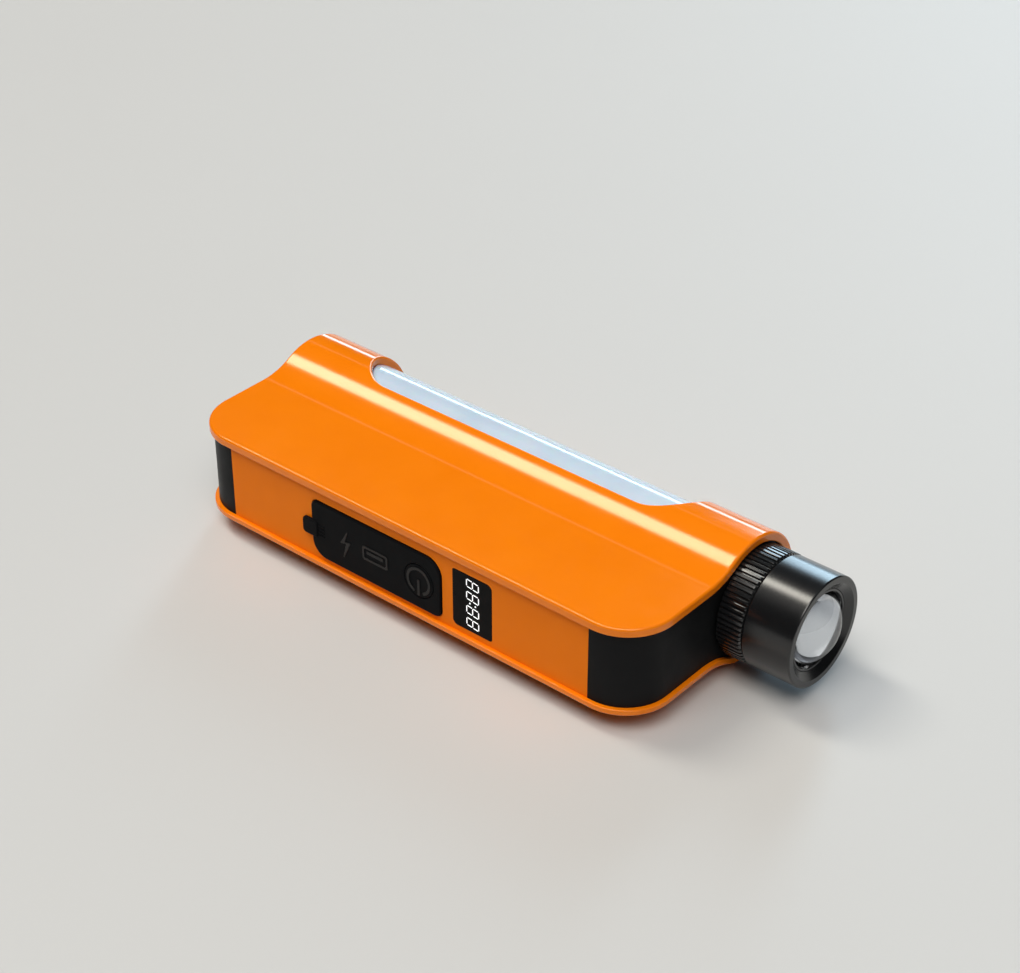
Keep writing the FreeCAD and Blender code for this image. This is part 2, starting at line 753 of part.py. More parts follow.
def reception():
    """Tuner board, ferrite rod with its winding, and the telescopic antenna."""
    node("tuner_board", block("tuner_board", (-80.0, 20.0), (6.0, 26.0), (TUNER_LOW, TUNER_TOP)))
    node("tuner_chip", block("tuner_chip", (-40.0, -30.0), (12.0, 22.0), (TUNER_TOP, TUNER_TOP + BOARD_WALL)))
    node("ferrite_rod", rod("ferrite_rod", "x", -70.0, -12.0, 0.0, FERRITE_Z, FERRITE_RADIUS))
    winding = rod("winding_outer", "x", -60.0, -42.0, 0.0, FERRITE_Z, FERRITE_RADIUS + 0.6)
    core = rod("winding_core", "x", -61.0, -41.0, 0.0, FERRITE_Z, FERRITE_RADIUS)
    node("ferrite_winding", cut("ferrite_winding", winding, core))
    antenna()


def antenna():
    """Fixed sleeve, the tube that slides in it, and the rod that slides in the tube."""
    y = S["antenna_y"]
    z = S["antenna_height"]
    end = S["antenna_end"]
    stowed = CAP_LEFT + 0.2
    sleeve = rod("sleeve_outer", "x", CAP_LEFT + S["band_wall"], end + 2.0, y, z, S["sleeve_radius"])
    bore = rod("sleeve_hollow", "x", CAP_LEFT, end + 3.0, y, z, S["sleeve_bore"])
    node("antenna_sleeve", cut("antenna_sleeve", sleeve, bore))
    outer = rod("outer_tube", "x", stowed + 2.2, end, y, z, S["sleeve_bore"] - S["run_gap"])
    outer_bore = rod("outer_hollow", "x", stowed, end + 1.0, y, z, S["antenna_bore"])
    node("antenna_outer_tube", cut("antenna_outer_tube", outer, outer_bore))
    inner = rod("inner_rod", "x", stowed + 0.5, end - 2.0, y, z, S["antenna_bore"] - S["run_gap"])
    tip = rod("inner_tip", "x", -S["overall_length"] / 2, stowed + 1.8, y, z, S["antenna_tip"])
    node("antenna_inner_rod", join("antenna_inner_rod", inner, tip))


def speaker():
    """Loudspeaker behind the left cap: gasket, basket, cone and magnet."""
    face = CAP_LEFT + S["band_wall"]
    radius = S["speaker_radius"]
    rim = 13.4
    gasket = [(face, rim), (face + 0.8, rim), (face + 0.8, radius), (face, radius)]
    node("speaker_gasket", turned("speaker_gasket", gasket))
    basket = [
        (face + 0.8, rim),
        (face + 2.0, rim),
        (face + 5.4, 8.6),
        (face + 5.4, 7.6),
        (face + 6.4, 7.6),
        (face + 6.4, 9.6),
        (face + 3.0, radius),
        (face + 0.8, radius),
    ]
    node("speaker_basket", turned("speaker_basket", basket))
    cone = [(face + 1.1, rim - 0.1), (face + 1.7, rim - 0.1), (face + 4.6, 0.0), (face + 4.0, 0.0)]
    node("speaker_cone", turned("speaker_cone", cone))
    node("speaker_magnet", axis_rod("speaker_magnet", face + 5.0, face + 9.6, 7.6))


# ---------------------------------------------------------------- torch


TUBE_LEFT = 62.0
TUBE_RIGHT = 88.0
SINK_LEFT = 66.0
STAR_LEFT = 82.0
STAR_FACE = 83.6
REFLECTOR_FRONT = 91.0


def torch_fixed():
    """Parts of the torch that stay with the body: tube, heat sink, lamp and reflector."""
    radius = S["tube_radius"]
    bore = radius - 1.8
    collar = radius + 2.0
    collar_right = CAP_RIGHT - S["band_wall"]
    tube = [
        (TUBE_LEFT, bore),
        (TUBE_RIGHT, bore),
        (TUBE_RIGHT, radius),
        (collar_right, radius),
        (collar_right, collar),
        (collar_right - 2.0, collar),
        (collar_right - 2.0, radius),
        (TUBE_LEFT, radius),
    ]
    node("torch_tube", turned("torch_tube", tube))
    node("heat_sink", axis_rod("heat_sink", SINK_LEFT, STAR_LEFT, bore))
    node("lamp_star", axis_rod("lamp_star", STAR_LEFT, STAR_FACE, bore))
    lamp = 2.0
    dome = [(STAR_FACE, 0.0), (STAR_FACE + lamp, 0.0), (STAR_FACE, lamp)]
    node("lamp_dome", turned("lamp_dome", dome, {1: (lamp, -1)}))
    cup = [(STAR_FACE, 3.4), (REFLECTOR_FRONT, 10.2), (REFLECTOR_FRONT, 10.9), (88.4, 10.9), (STAR_FACE, 4.2)]
    node("reflector", turned("reflector", cup))


def torch_head():
    """The knurled focus ring and the bezel with its lens, which slides as the ring turns."""
    hub_end = CAP_RIGHT + 3.4
    skirt = S["tube_radius"] + 2.1
    ring_left = CAP_RIGHT + S["free_gap"]
    chamfer = 0.4
    ring = [
        (ring_left, S["tube_radius"] + S["run_gap"]),
        (hub_end, S["tube_radius"] + S["run_gap"]),
        (hub_end, skirt + S["run_gap"]),
        (S["ring_front"], skirt + S["run_gap"]),
        (S["ring_front"], S["ring_radius"] - chamfer),
        (S["ring_front"] - chamfer, S["ring_radius"]),
        (ring_left + chamfer, S["ring_radius"]),
        (ring_left, S["ring_radius"] - chamfer),
    ]
    node("focus_ring", knurled(turned("focus_ring", ring)))
    rim = S["lens_radius"]
    inner_rim = rim - 1.0
    dome = S["lens_dome_radius"]
    rise = dome - (dome * dome - inner_rim * inner_rim).root()
    edge = S["overall_length"] / 2 - rise
    seat = edge - S["lens_edge"]
    lip = rim - 0.8
    stack = edge + 1.2
    bezel = [
        (hub_end + 0.4, S["tube_radius"] + S["run_gap"]),
        (seat - 1.6, S["tube_radius"] + S["run_gap"]),
        (seat - 1.6, lip),
        (seat - 0.8, lip),
        (seat - 0.8, rim),
        (stack, rim),
        (BEZEL_FRONT, S["bezel_recess_radius"]),
        (BEZEL_FRONT, S["bezel_radius"] - 0.5),
        (BEZEL_FRONT - 0.5, S["bezel_radius"]),
        (S["ring_front"] + S["free_gap"], S["bezel_radius"]),
        (S["ring_front"] + S["free_gap"], skirt),
        (hub_end + 0.4, skirt),
    ]
    node("torch_bezel", turned("torch_bezel", bezel))
    seal = [(seat - 0.8, lip), (seat, lip), (seat, rim), (seat - 0.8, rim)]
    node("lens_seal", turned("lens_seal", seal))
    lens = [(seat, 0.0), (edge + rise, 0.0), (edge, inner_rim), (edge, rim), (seat, rim)]
    node("torch_lens", turned("torch_lens", lens, {1: (dome, -1)}))
    clip = [(edge, inner_rim + 0.1), (stack, inner_rim + 0.1), (stack, rim), (edge, rim)]
    node("lens_retainer", turned("lens_retainer", clip))


GROOVES = 48


def knurled(body):
    """Cuts axial grooves all round the ring."""
    DOC.recompute()
    before = body.Shape.Volume
    half = 0.35
    depth = S["ring_radius"] - 0.6
    notch = outline(
        body,
        "YZ_Plane",
        "notch_outline",
        [(-half, depth), (half, depth), (half, S["ring_radius"] + 1), (-half, S["ring_radius"] + 1)],
    )
    pocket = body.newObject("PartDesign::Pocket", "notch")
    pocket.Profile = notch
    pocket.Type = "ThroughAll"
    pocket.Midplane = True
    pattern = body.newObject("PartDesign::PolarPattern", "notches")
    pattern.Originals = [pocket]
    pattern.Axis = (notch, ["N_Axis"])
    pattern.Angle = 360
    pattern.Occurrences = GROOVES
    body.Tip = pattern
    DOC.recompute()
    if body.Shape.Volume >= before - 10:
        raise RuntimeError("the knurl cut nothing")
    return body


# ---------------------------------------------------------------- feet


FRONT_FOOT_Y = (-31.0, -23.0)


def feet():
    """Rubber feet: two blocks under the flat front and two pads under the barrel."""
    half = S["foot_half_length"]
    across = (AXIS_Y - S["foot_half_width"], AXIS_Y + S["foot_half_width"])
    for side, middle in (("left", -60.0), ("right", 40.0)):
        span = (middle - half, middle + half)
        node(f"front_foot_{side}", block(f"front_foot_{side}_block", span, FRONT_FOOT_Y, (0.0, BOTTOM_FLAT)))
        pad = block(f"rear_foot_{side}_block", span, across, (0.0, S["foot_rear_height"]))
        barrel = axis_rod(f"rear_foot_{side}_barrel", span[0] - 1.0, span[1] + 1.0, S["barrel_radius"])
        node(f"rear_foot_{side}", cut(f"rear_foot_{side}", pad, barrel))


def check_and_write():
    """Recomputes, checks every object and writes one STEP file per sub-part."""
    DOC.recompute()
    for thing in DOC.Objects:
        if any(state in ("Invalid", "Error") for state in thing.State):
            raise RuntimeError(f"{thing.Name} failed: {thing.State}")
    os.makedirs("parts", exist_ok=True)
    for name, thing in NODES.items():
        shape = thing.Shape
        if shape.isNull() or not shape.isValid() or not shape.Solids:
            raise RuntimeError(f"{name} has no valid solid")
        shape.exportStep(f"parts/{name}.step")
        box = shape.BoundBox
        low = (round(box.XMin, 2), round(box.YMin, 2), round(box.ZMin, 2))
        high = (round(box.XMax, 2), round(box.YMax, 2), round(box.ZMax, 2))
        print(f"{name:20s} {len(shape.Solids):2d} solids {shape.Volume:10.1f} mm3 {low} {high}")


top_cover()
bottom_cover()
housing_screws()
end_caps()
front_panel()
rear_panel()
rear_buttons()
light()
port_rubber()
electronics()
battery()
reception()
speaker()
torch_fixed()
torch_head()
feet()
check_and_write()
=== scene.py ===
import json
import math

import bpy
import numpy as np
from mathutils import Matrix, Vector
from mathutils.geometry import delaunay_2d_cdt


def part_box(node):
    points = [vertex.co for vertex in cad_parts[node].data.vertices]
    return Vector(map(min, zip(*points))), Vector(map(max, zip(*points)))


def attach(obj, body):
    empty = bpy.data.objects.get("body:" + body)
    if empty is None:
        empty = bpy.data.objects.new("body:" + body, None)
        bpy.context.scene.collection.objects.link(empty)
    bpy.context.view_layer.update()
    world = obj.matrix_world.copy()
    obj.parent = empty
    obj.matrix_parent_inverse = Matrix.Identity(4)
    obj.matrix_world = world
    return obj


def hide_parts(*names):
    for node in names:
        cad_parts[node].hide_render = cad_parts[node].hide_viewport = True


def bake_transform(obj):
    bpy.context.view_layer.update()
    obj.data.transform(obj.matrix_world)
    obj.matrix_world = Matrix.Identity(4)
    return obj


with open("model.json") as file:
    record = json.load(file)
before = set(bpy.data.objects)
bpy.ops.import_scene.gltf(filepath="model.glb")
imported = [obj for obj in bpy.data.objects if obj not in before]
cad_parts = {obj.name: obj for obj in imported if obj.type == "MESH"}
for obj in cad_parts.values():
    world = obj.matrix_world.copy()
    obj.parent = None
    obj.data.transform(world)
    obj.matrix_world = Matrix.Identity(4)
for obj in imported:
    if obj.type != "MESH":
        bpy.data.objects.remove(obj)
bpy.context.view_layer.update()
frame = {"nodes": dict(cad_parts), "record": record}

# Geometry below is in millimetres of the part's own frame; meshes are scaled on creation.
MM = 0.001


def mm_box(node):
    """A CAD node's lowest and highest corners in millimetres."""
    low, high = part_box(node)
    return np.array(low) / MM, np.array(high) / MM


# ---- sizes from the frame

COVER_LOW, COVER_HIGH = mm_box("bottom_cover")
PANEL_LOW, PANEL_HIGH = mm_box("front_panel")
BEZEL_LOW, BEZEL_HIGH = mm_box("torch_bezel")
RING_LOW, RING_HIGH = mm_box("focus_ring")
CAP_LEFT = mm_box("left_end_cap")[0][0]
CAP_RIGHT, CAP_REAR = mm_box("right_end_cap")[1][:2]
BODY_LEFT, FRONT = COVER_LOW[0], COVER_LOW[1]
BODY_RIGHT = COVER_HIGH[0]
AXIS_Y, AXIS_Z = ((BEZEL_LOW + BEZEL_HIGH) / 2)[1:]
BARREL = AXIS_Z - COVER_LOW[2]
FLAT = AXIS_Z - mm_box("front_foot_left")[1][2]
TOP_WALL = AXIS_Z + FLAT - PANEL_HIGH[2]
BOTTOM_WALL = PANEL_LOW[2] - (AXIS_Z - FLAT)
OVERHANG = PANEL_LOW[1] - FRONT
SEAM_LEFT, SEAM_RIGHT = PANEL_LOW[0], PANEL_HIGH[0]
REAR_LOW, REAR_HIGH = (corner[2] - AXIS_Z for corner in mm_box("rear_panel"))

# No node's box gives these: the radii of the hollow and of the corners seen from above.
HOLLOW = 25.0
CORNER = 16.6
# The light slot: its bar's ends and half width, and its tilt and rear end about the barrel axis.
SLOT_LEFT, SLOT_RIGHT = -63.7, 37.7
SLOT_HALF = 14.5
SLOT_TILT = math.radians(28.0)
SLOT_REAR = math.radians(77.0)
DIFFUSER_RISE = 0.45
DIFFUSER = BARREL - TOP_WALL + DIFFUSER_RISE
TAB_OVERHANG = 3.7

RISE = FLAT + HOLLOW
REACH = HOLLOW + BARREL
RUN = math.sqrt(REACH**2 - RISE**2)
STEEPEST = math.asin(RUN / REACH)
FLAT_LENGTH = (AXIS_Y - RUN) - FRONT
HOLLOW_LENGTH = HOLLOW * STEEPEST
TOP_AT = FLAT_LENGTH + HOLLOW_LENGTH + BARREL * STEEPEST


def curve_length(height):
    """Length along the S-curve from the front edge to a height above the barrel axis."""
    return TOP_AT + BARREL * math.acos(height / BARREL)


# ---- surfaces


def s_surface(side):
    """The S-curved outside of a cover: u along X, v along the curve from the front edge."""

    def at(uv, depth):
        u, v = uv[:, 0], uv[:, 1]
        tilt = np.where(
            v < FLAT_LENGTH + HOLLOW_LENGTH,
            np.clip((v - FLAT_LENGTH) / HOLLOW, 0, STEEPEST),
            (TOP_AT - v) / BARREL,
        )
        on_flat = v < FLAT_LENGTH
        on_barrel = v >= FLAT_LENGTH + HOLLOW_LENGTH
        y = np.where(
            on_flat,
            FRONT + v,
            np.where(on_barrel, AXIS_Y - BARREL * np.sin(tilt), AXIS_Y - RUN + HOLLOW * np.sin(tilt)),
        )
        z = np.where(
            on_flat, FLAT, np.where(on_barrel, BARREL * np.cos(tilt), FLAT + HOLLOW * (1 - np.cos(tilt)))
        )
        across = np.stack([0 * u, np.cos(tilt), side * np.sin(tilt)], 1)
        normal = np.stack([0 * u, -np.sin(tilt), side * np.cos(tilt)], 1)
        along = np.stack([1 + 0 * u, 0 * u, 0 * u], 1)
        points = np.stack([u, y, AXIS_Z + side * z], 1) - normal * depth[:, None]
        return points, normal, along, across

    return at


def flat_surface(origin, along, across):
    """A plane: u and v are measured from origin; depth goes against along x across."""
    origin, along, across = (np.array(a, float) for a in (origin, along, across))
    normal = np.cross(along, across)

    def at(uv, depth):
        points = origin + uv[:, :1] * along + uv[:, 1:] * across - normal * depth[:, None]
        spread = np.ones((len(uv), 1))
        return points, spread * normal, spread * along, spread * across

    return at


def front_surface(y):
    """A plane that faces the display side: u is X and v is Z."""
    return flat_surface((0, y, 0), (1, 0, 0), (0, 0, 1))


def wrap_surface(left):
    """The outside of an end cap: u runs along the plan outline, v is Z.

    u is 0 where the corner arc begins on the display side and grows towards the rear
    on the right cap; on the left cap it falls."""
    radius = CORNER - OVERHANG
    face = CAP_LEFT if left else CAP_RIGHT
    side = -1.0 if left else 1.0
    start_x = face - side * radius
    start_y = PANEL_LOW[1]
    quarter = radius * math.pi / 2

    def at(uv, depth):
        travel = uv[:, 0] * side
        v = uv[:, 1]
        turn = np.clip(travel / radius, 0, math.pi / 2)
        x = start_x + side * (np.minimum(travel, 0) + radius * np.sin(turn))
        y = start_y + radius * (1 - np.cos(turn)) + np.maximum(travel - quarter, 0)
        normal = np.stack([side * np.sin(turn), -np.cos(turn), 0 * v], 1)
        along = np.stack([np.cos(turn), side * np.sin(turn), 0 * v], 1)
        across = np.stack([0 * v, 0 * v, 1 + 0 * v], 1)
        points = np.stack([x, y, v], 1) - normal * depth[:, None]
        return points, normal, along, across

    return at, quarter


# ---- outlines


def arc(centre, radius, start, stop, count=12):
    """Points on an arc, angles in degrees, ends included."""
    turn = np.radians(np.linspace(start, stop, count + 1))
    return [(centre[0] + radius * math.cos(t), centre[1] + radius * math.sin(t)) for t in turn]


def rounded_rectangle(low, high, radii, count=10):
    """Anticlockwise outline; radii are low left, low right, high right, high left."""
    a, b, c, d = radii
    return (
        arc((low[0] + a, low[1] + a), a, 180, 270, count)
        + arc((high[0] - b, low[1] + b), b, 270, 360, count)
        + arc((high[0] - c, high[1] - c), c, 0, 90, count)
        + arc((low[0] + d, high[1] - d), d, 90, 180, count)
    )


def circle(centre, radius, count=48):
    return arc(centre, radius, 0, 360, count)[:-1]


def eased(corners, radius, count=4):
    """A closed outline with its corners rounded."""
    made = []
    for i in range(len(corners)):
        here = np.array(corners[i], float)
        back = np.array(corners[i - 1], float) - here
        ahead = np.array(corners[(i + 1) % len(corners)], float) - here
        back /= np.linalg.norm(back)
        ahead /= np.linalg.norm(ahead)
        half = math.acos(float(np.clip(back @ ahead, -1, 1))) / 2
        middle = (back + ahead) / np.linalg.norm(back + ahead)
        centre = here + middle * radius / math.sin(half)
        start = here + back * radius / math.tan(half) - centre
        swing = math.pi - 2 * half
        turn = math.copysign(swing, back[1] * ahead[0] - back[0] * ahead[1])
        for k in range(count + 1):
            c, s = math.cos(turn * k / count), math.sin(turn * k / count)
            made.append((centre[0] + start[0] * c - start[1] * s, centre[1] + start[0] * s + start[1] * c))
    return made


def spaced(loop, step):
    """The loop with points added so that no side is longer than step, and repeats dropped."""
    made = []
    for here, following in zip(loop, loop[1:] + loop[:1]):
        length = math.dist(here, following)
        if length < 1e-4:
            continue
        count = max(1, math.ceil(length / step))
        for k in range(count):
            share = k / count
            made.append([here[i] + (following[i] - here[i]) * share for i in (0, 1)])
    return np.array(made)


def area(loop):
    x, y = loop[:, 0], loop[:, 1]
    return 0.5 * float(np.sum(x * np.roll(y, -1) - np.roll(x, -1) * y))


def inward(loop):
    """The direction into the material at each point, scaled so that sides move evenly."""
    side = np.roll(loop, -1, 0) - loop
    side /= np.linalg.norm(side, axis=1)[:, None]
    left = np.stack([-side[:, 1], side[:, 0]], 1)
    total = left + np.roll(left, 1, 0)
    length = np.linalg.norm(total, axis=1)[:, None]
    return total / length * np.minimum(2.0 / length, 2.0)


def inside(points, loop):
    """Which points lie inside a closed loop."""
    hit = np.zeros(len(points), bool)
    x, y = points[:, 0], points[:, 1]
    for (x0, y0), (x1, y1) in zip(loop, np.roll(loop, -1, 0)):
        crosses = (y0 > y) != (y1 > y)
        if y1 != y0:
            hit ^= crosses & (x < (x1 - x0) * (y - y0) / (y1 - y0) + x0)
    return hit


def fill(loops, spacing):
    """Triangles over the space inside loops[0] and outside the others.

    Returns the added inner points and the triangles, numbered with the loops' points first."""
    rims = np.concatenate(loops)
    extra = np.zeros((0, 2))
    if spacing:
        low, high = loops[0].min(0), loops[0].max(0)
        counts = [max(2, int((high[i] - low[i]) / spacing[i])) for i in (0, 1)]
        grid = np.stack(
            np.meshgrid(*[np.linspace(low[i], high[i], counts[i] + 1)[1:-1] for i in (0, 1)]), -1
        ).reshape(-1, 2)
        keep = inside(grid, loops[0])
        for loop in loops[1:]:
            keep &= ~inside(grid, loop)
        grid = grid[keep]
        scale = np.array(spacing)
        near = np.array([np.min(np.sum(((rims - p) / scale) ** 2, 1)) for p in grid]) if len(grid) else grid
        extra = grid[near > 0.2] if len(grid) else grid
    points = np.concatenate([rims, extra])
    edges, start = [], 0
    for loop in loops:
        count = len(loop)
        edges += [(start + i, start + (i + 1) % count) for i in range(count)]
        start += count
    corners = [Vector(p) for p in points]
    _, _, faces, origin, _, _ = delaunay_2d_cdt(corners, edges, [], 0, 1e-7, True)
    number = [ids[0] for ids in origin]
    tris = np.array([[number[i] for i in face] for face in faces])
    middle = points[tris].mean(1)
    keep = inside(middle, loops[0])
    for loop in loops[1:]:
        keep &= ~inside(middle, loop)
    return extra, tris[keep]


# ---- mesh builders


def new_mesh(name, points, faces, normals=None):
    """An object from points in millimetres, smooth, with its own normals if they are given."""
    mesh = bpy.data.meshes.new(name)
    mesh.from_pydata([tuple(p * MM) for p in np.asarray(points, float)], [], [tuple(f) for f in faces])
    mesh.validate()
    mesh.shade_smooth()
    if normals is not None:
        normals = np.asarray(normals, float)
        normals /= np.linalg.norm(normals, axis=1)[:, None]
        mesh.normals_split_custom_set_from_vertices([tuple(n) for n in normals])
    piece = bpy.data.objects.new(name, mesh)
    bpy.context.scene.collection.objects.link(piece)
    return piece


def plate(name, surface, outline, holes, thickness, edge, back, spacing=None, step=1.0, turns=5):
    """A closed sheet on a surface, with rounded edges and its own smooth normals.

    edge and back are the rounding of the outer and the inner edges, spacing is that of the
    points inside the sheet, and step is the longest side of its outlines."""
    loops = []
    for number, loop in enumerate([outline, *holes]):
        loop = spaced(list(map(tuple, loop)), step)
        if (area(loop) > 0) != (number == 0):
            loop = loop[::-1].copy()
        loops.append(loop)
    rounding = [math.pi / 2 * k / turns for k in range(turns + 1)]
    # each ring: distance in from the outline, depth, and the normal's share upward and outward
    rings = [
        (edge * (1 - math.sin(t)), edge * (1 - math.cos(t)), math.cos(t), math.sin(t))
        for t in rounding
    ]
    rings += [
        (back * (1 - math.cos(t)), thickness - back * (1 - math.sin(t)), -math.sin(t), math.cos(t))
        for t in rounding
    ]
    into = np.concatenate([inward(loop) for loop in loops])
    rims = np.concatenate(loops)
    total = len(rims)
    points, normals, faces = [], [], []
    for offset, depth, up, out in rings:
        p, n, along, across = surface(rims + into * offset, np.full(total, depth))
        unit = into / np.linalg.norm(into, axis=1)[:, None]
        outward = -(unit[:, :1] * along + unit[:, 1:] * across)
        points.append(p)
        normals.append(n * up + outward * out)
    start = 0
    for loop in loops:
        count = len(loop)
        for ring in range(len(rings) - 1):
            for i in range(count):
                j = (i + 1) % count
                a, b = ring * total + start, (ring + 1) * total + start
                faces.append((a + i, b + i, b + j, a + j))
        start += count
    for ring, flip, up in ((0, False, 1), (len(rings) - 1, True, -1)):
        offset, depth = rings[ring][:2]
        moved = rims + into * offset
        cuts = np.cumsum([len(loop) for loop in loops])[:-1]
        extra, tris = fill(np.split(moved, cuts), spacing)
        base = sum(len(p) for p in points)
        if len(extra):
            p, n, _, _ = surface(extra, np.full(len(extra), depth))
            points.append(p)
            normals.append(n * up)
        for tri in tris:
            tri = [ring * total + i if i < total else base + i - total for i in tri]
            faces.append(tuple(tri[::-1] if flip else tri))
    points, normals = np.concatenate(points), np.concatenate(normals)
    _, n, along, across = surface(rims[:1], np.zeros(1))
    if np.dot(np.cross(along[0], across[0]), n[0]) < 0:
        faces = [tuple(reversed(f)) for f in faces]
    return new_mesh(name, points, faces, normals)


def smoothed(corners, turns=4):
    """A closed (x, radius) outline with its corners rounded; corners are (x, r, rounding).

    Returns points and outward normals; the outline runs clockwise seen with x to the
    right and the radius up, so that its outside is on its left."""
    made = []
    count = len(corners)
    for i, (x, r, rounding) in enumerate(corners):
        here = np.array([x, r])
        before = here - np.array(corners[i - 1][:2])
        after = np.array(corners[(i + 1) % count][:2]) - here
        before /= np.linalg.norm(before)
        after /= np.linalg.norm(after)
        turn = math.atan2(before[0] * after[1] - before[1] * after[0], float(before @ after))
        left = [np.array([-d[1], d[0]]) for d in (before, after)]
        if abs(turn) < 1e-3:
            made.append((here, left[0]))
            continue
        reach = rounding * math.tan(abs(turn) / 2)
        start = here - before * reach
        bend = math.copysign(1.0, turn)
        centre = start + left[0] * rounding * bend
        for k in range(turns + 1):
            angle = turn * k / turns
            c, s = math.cos(angle), math.sin(angle)
            n = np.array([left[0][0] * c - left[0][1] * s, left[0][0] * s + left[0][1] * c])
            made.append((centre - n * rounding * bend, n))
    return made


def tube_faces(rows, count):
    """Faces between rings of count points, with the last ring joined to the first."""
    faces = []
    for row in range(rows):
        following = (row + 1) % rows
        for i in range(count):
            j = (i + 1) % count
            faces.append((row * count + j, following * count + j, following * count + i, row * count + i))
    return faces


def lathe(name, corners, count):
    """A turned piece about the barrel axis, from a closed outline of rounded corners."""
    profile = smoothed(corners)
    points, normals = [], []
    angles = np.linspace(0, 2 * math.pi, count, endpoint=False)
    for (x, r), (nx, nr) in profile:
        r = max(r, 1e-4)
        for t in angles:
            points.append((x, AXIS_Y + r * math.cos(t), AXIS_Z + r * math.sin(t)))
            normals.append((nx, nr * math.cos(t), nr * math.sin(t)))
    return new_mesh(name, points, tube_faces(len(profile), count), normals)


def finish_piece(piece, body, material):
    """What every piece gets: its body and its look."""
    piece.data.materials.append(material)
    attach(piece, body)


# ---- materials


class Nodes:
    """Short calls for a material's node tree."""

    def __init__(self, name):
        self.material = bpy.data.materials.new(name)
        self.material.use_nodes = True
        self.tree = self.material.node_tree
        self.shader = self.tree.nodes["Principled BSDF"]
        self.place = self.tree.nodes.new("ShaderNodeTexCoord").outputs["Object"]

    def node(self, kind):
        return self.tree.nodes.new(kind)

    def link(self, output, target):
        self.tree.links.new(output, target)

    def set(self, **values):
        for key, value in values.items():
            self.shader.inputs[key.replace("_", " ")].default_value = value

    def stretch(self, scale):
        """Object coordinates scaled by three numbers."""
        mapping = self.node("ShaderNodeMapping")
        mapping.inputs["Scale"].default_value = scale
        self.link(self.place, mapping.inputs["Vector"])
        return mapping.outputs["Vector"]

    def noise(self, scale, detail=3.0, rough=0.5, where=None):
        texture = self.node("ShaderNodeTexNoise")
        texture.inputs["Scale"].default_value = scale
        texture.inputs["Detail"].default_value = detail
        texture.inputs["Roughness"].default_value = rough
        self.link(where or self.place, texture.inputs["Vector"])
        return texture.outputs["Fac"]

    def span(self, value, low, high, out_low, out_high):
        """A value remapped from low..high to out_low..out_high."""
        made = self.node("ShaderNodeMapRange")
        ends = {"From Min": low, "From Max": high, "To Min": out_low, "To Max": out_high}
        for key, number in ends.items():
            made.inputs[key].default_value = number
        self.link(value, made.inputs["Value"])
        return made.outputs["Result"]

    def colours(self, value, *stops):
        """A colour ramp; stops are (position, colour)."""
        ramp = self.node("ShaderNodeValToRGB")
        while len(ramp.color_ramp.elements) < len(stops):
            ramp.color_ramp.elements.new(0.5)
        for element, (position, colour) in zip(ramp.color_ramp.elements, stops):
            element.position = position
            element.color = (*colour, 1)
        self.link(value, ramp.inputs["Fac"])
        return ramp.outputs["Color"]

    def bump(self, value, strength, distance):
        made = self.node("ShaderNodeBump")
        made.inputs["Strength"].default_value = strength
        made.inputs["Distance"].default_value = distance
        self.link(value, made.inputs["Height"])
        self.link(made.outputs["Normal"], self.shader.inputs["Normal"])


def varied(name, dark, light, roughness, grain, bump, scale=60.0, **values):
    """A moulded or painted surface: patchy colour, uneven gloss and a fine grain."""
    n = Nodes(name)
    n.link(n.colours(n.noise(scale), (0.3, dark), (0.7, light)), n.shader.inputs["Base Color"])
    n.link(n.span(n.noise(scale * 3.1, 4.0), 0.3, 0.7, *roughness), n.shader.inputs["Roughness"])
    n.bump(n.noise(grain, 2.0), *bump)
    n.set(**values)
    return n.material


def make_materials():
    """The moulded looks of the outside."""
    looks = {}
    looks["orange_gloss"] = varied(
        "orange_gloss_plastic",
        (0.94, 0.215, 0.002),
        (0.97, 0.23, 0.003),
        (0.1, 0.15),
        1500.0,
        (0.03, 0.00002),
        Coat_Weight=0.25,
        Coat_Roughness=0.03,
        Specular_IOR_Level=0.45,
        Specular_Tint=(1.0, 0.84, 0.5, 1),
    )
    looks["orange_band"] = varied(
        "orange_band_plastic",
        (0.93, 0.21, 0.004),
        (0.97, 0.225, 0.005),
        (0.4, 0.48),
        2600.0,
        (0.08, 0.00002),
        Specular_IOR_Level=0.08,
    )
    looks["black_satin"] = varied(
        "black_satin_plastic",
        (0.0075, 0.008, 0.009),
        (0.01, 0.0105, 0.0115),
        (0.36, 0.44),
        4000.0,
        (0.12, 0.00003),
        Specular_IOR_Level=0.07,
    )
    looks["soft_rubber"] = varied(
        "soft_rubber",
        (0.0045, 0.005, 0.006),
        (0.006, 0.0066, 0.0078),
        (0.44, 0.56),
        5200.0,
        (0.16, 0.00003),
        Specular_IOR_Level=0.04,
    )
    # Near-black for the icons: painted shade, standing for the shade inside recessed icons.
    looks["painted_recess_shade"] = varied(
        "painted_recess_shade",
        (0.002, 0.002, 0.0023),
        (0.003, 0.003, 0.0034),
        (0.3, 0.4),
        5200.0,
        (0.1, 0.00003),
        Specular_IOR_Level=0.3,
    )
    looks["foot_rubber"] = varied(
        "foot_rubber", (0.006, 0.006, 0.006), (0.01, 0.01, 0.01), (0.75, 0.9), 3800.0, (0.3, 0.00005)
    )
    return looks


def turned_metal(name, dark, light, roughness, metallic=1.0, rings=9000.0, **values):
    """Metal turned about the barrel axis: fine rings, uneven gloss."""
    n = Nodes(name)
    lines = n.noise(1.0, 2.0, 0.6, n.stretch((rings, 6.0, 6.0)))
    n.link(n.colours(n.noise(90.0), (0.3, dark), (0.7, light)), n.shader.inputs["Base Color"])
    n.link(n.span(lines, 0.3, 0.7, *roughness), n.shader.inputs["Roughness"])
    n.bump(lines, 0.02, 0.00001)
    n.set(Metallic=metallic, **values)
    return n.material


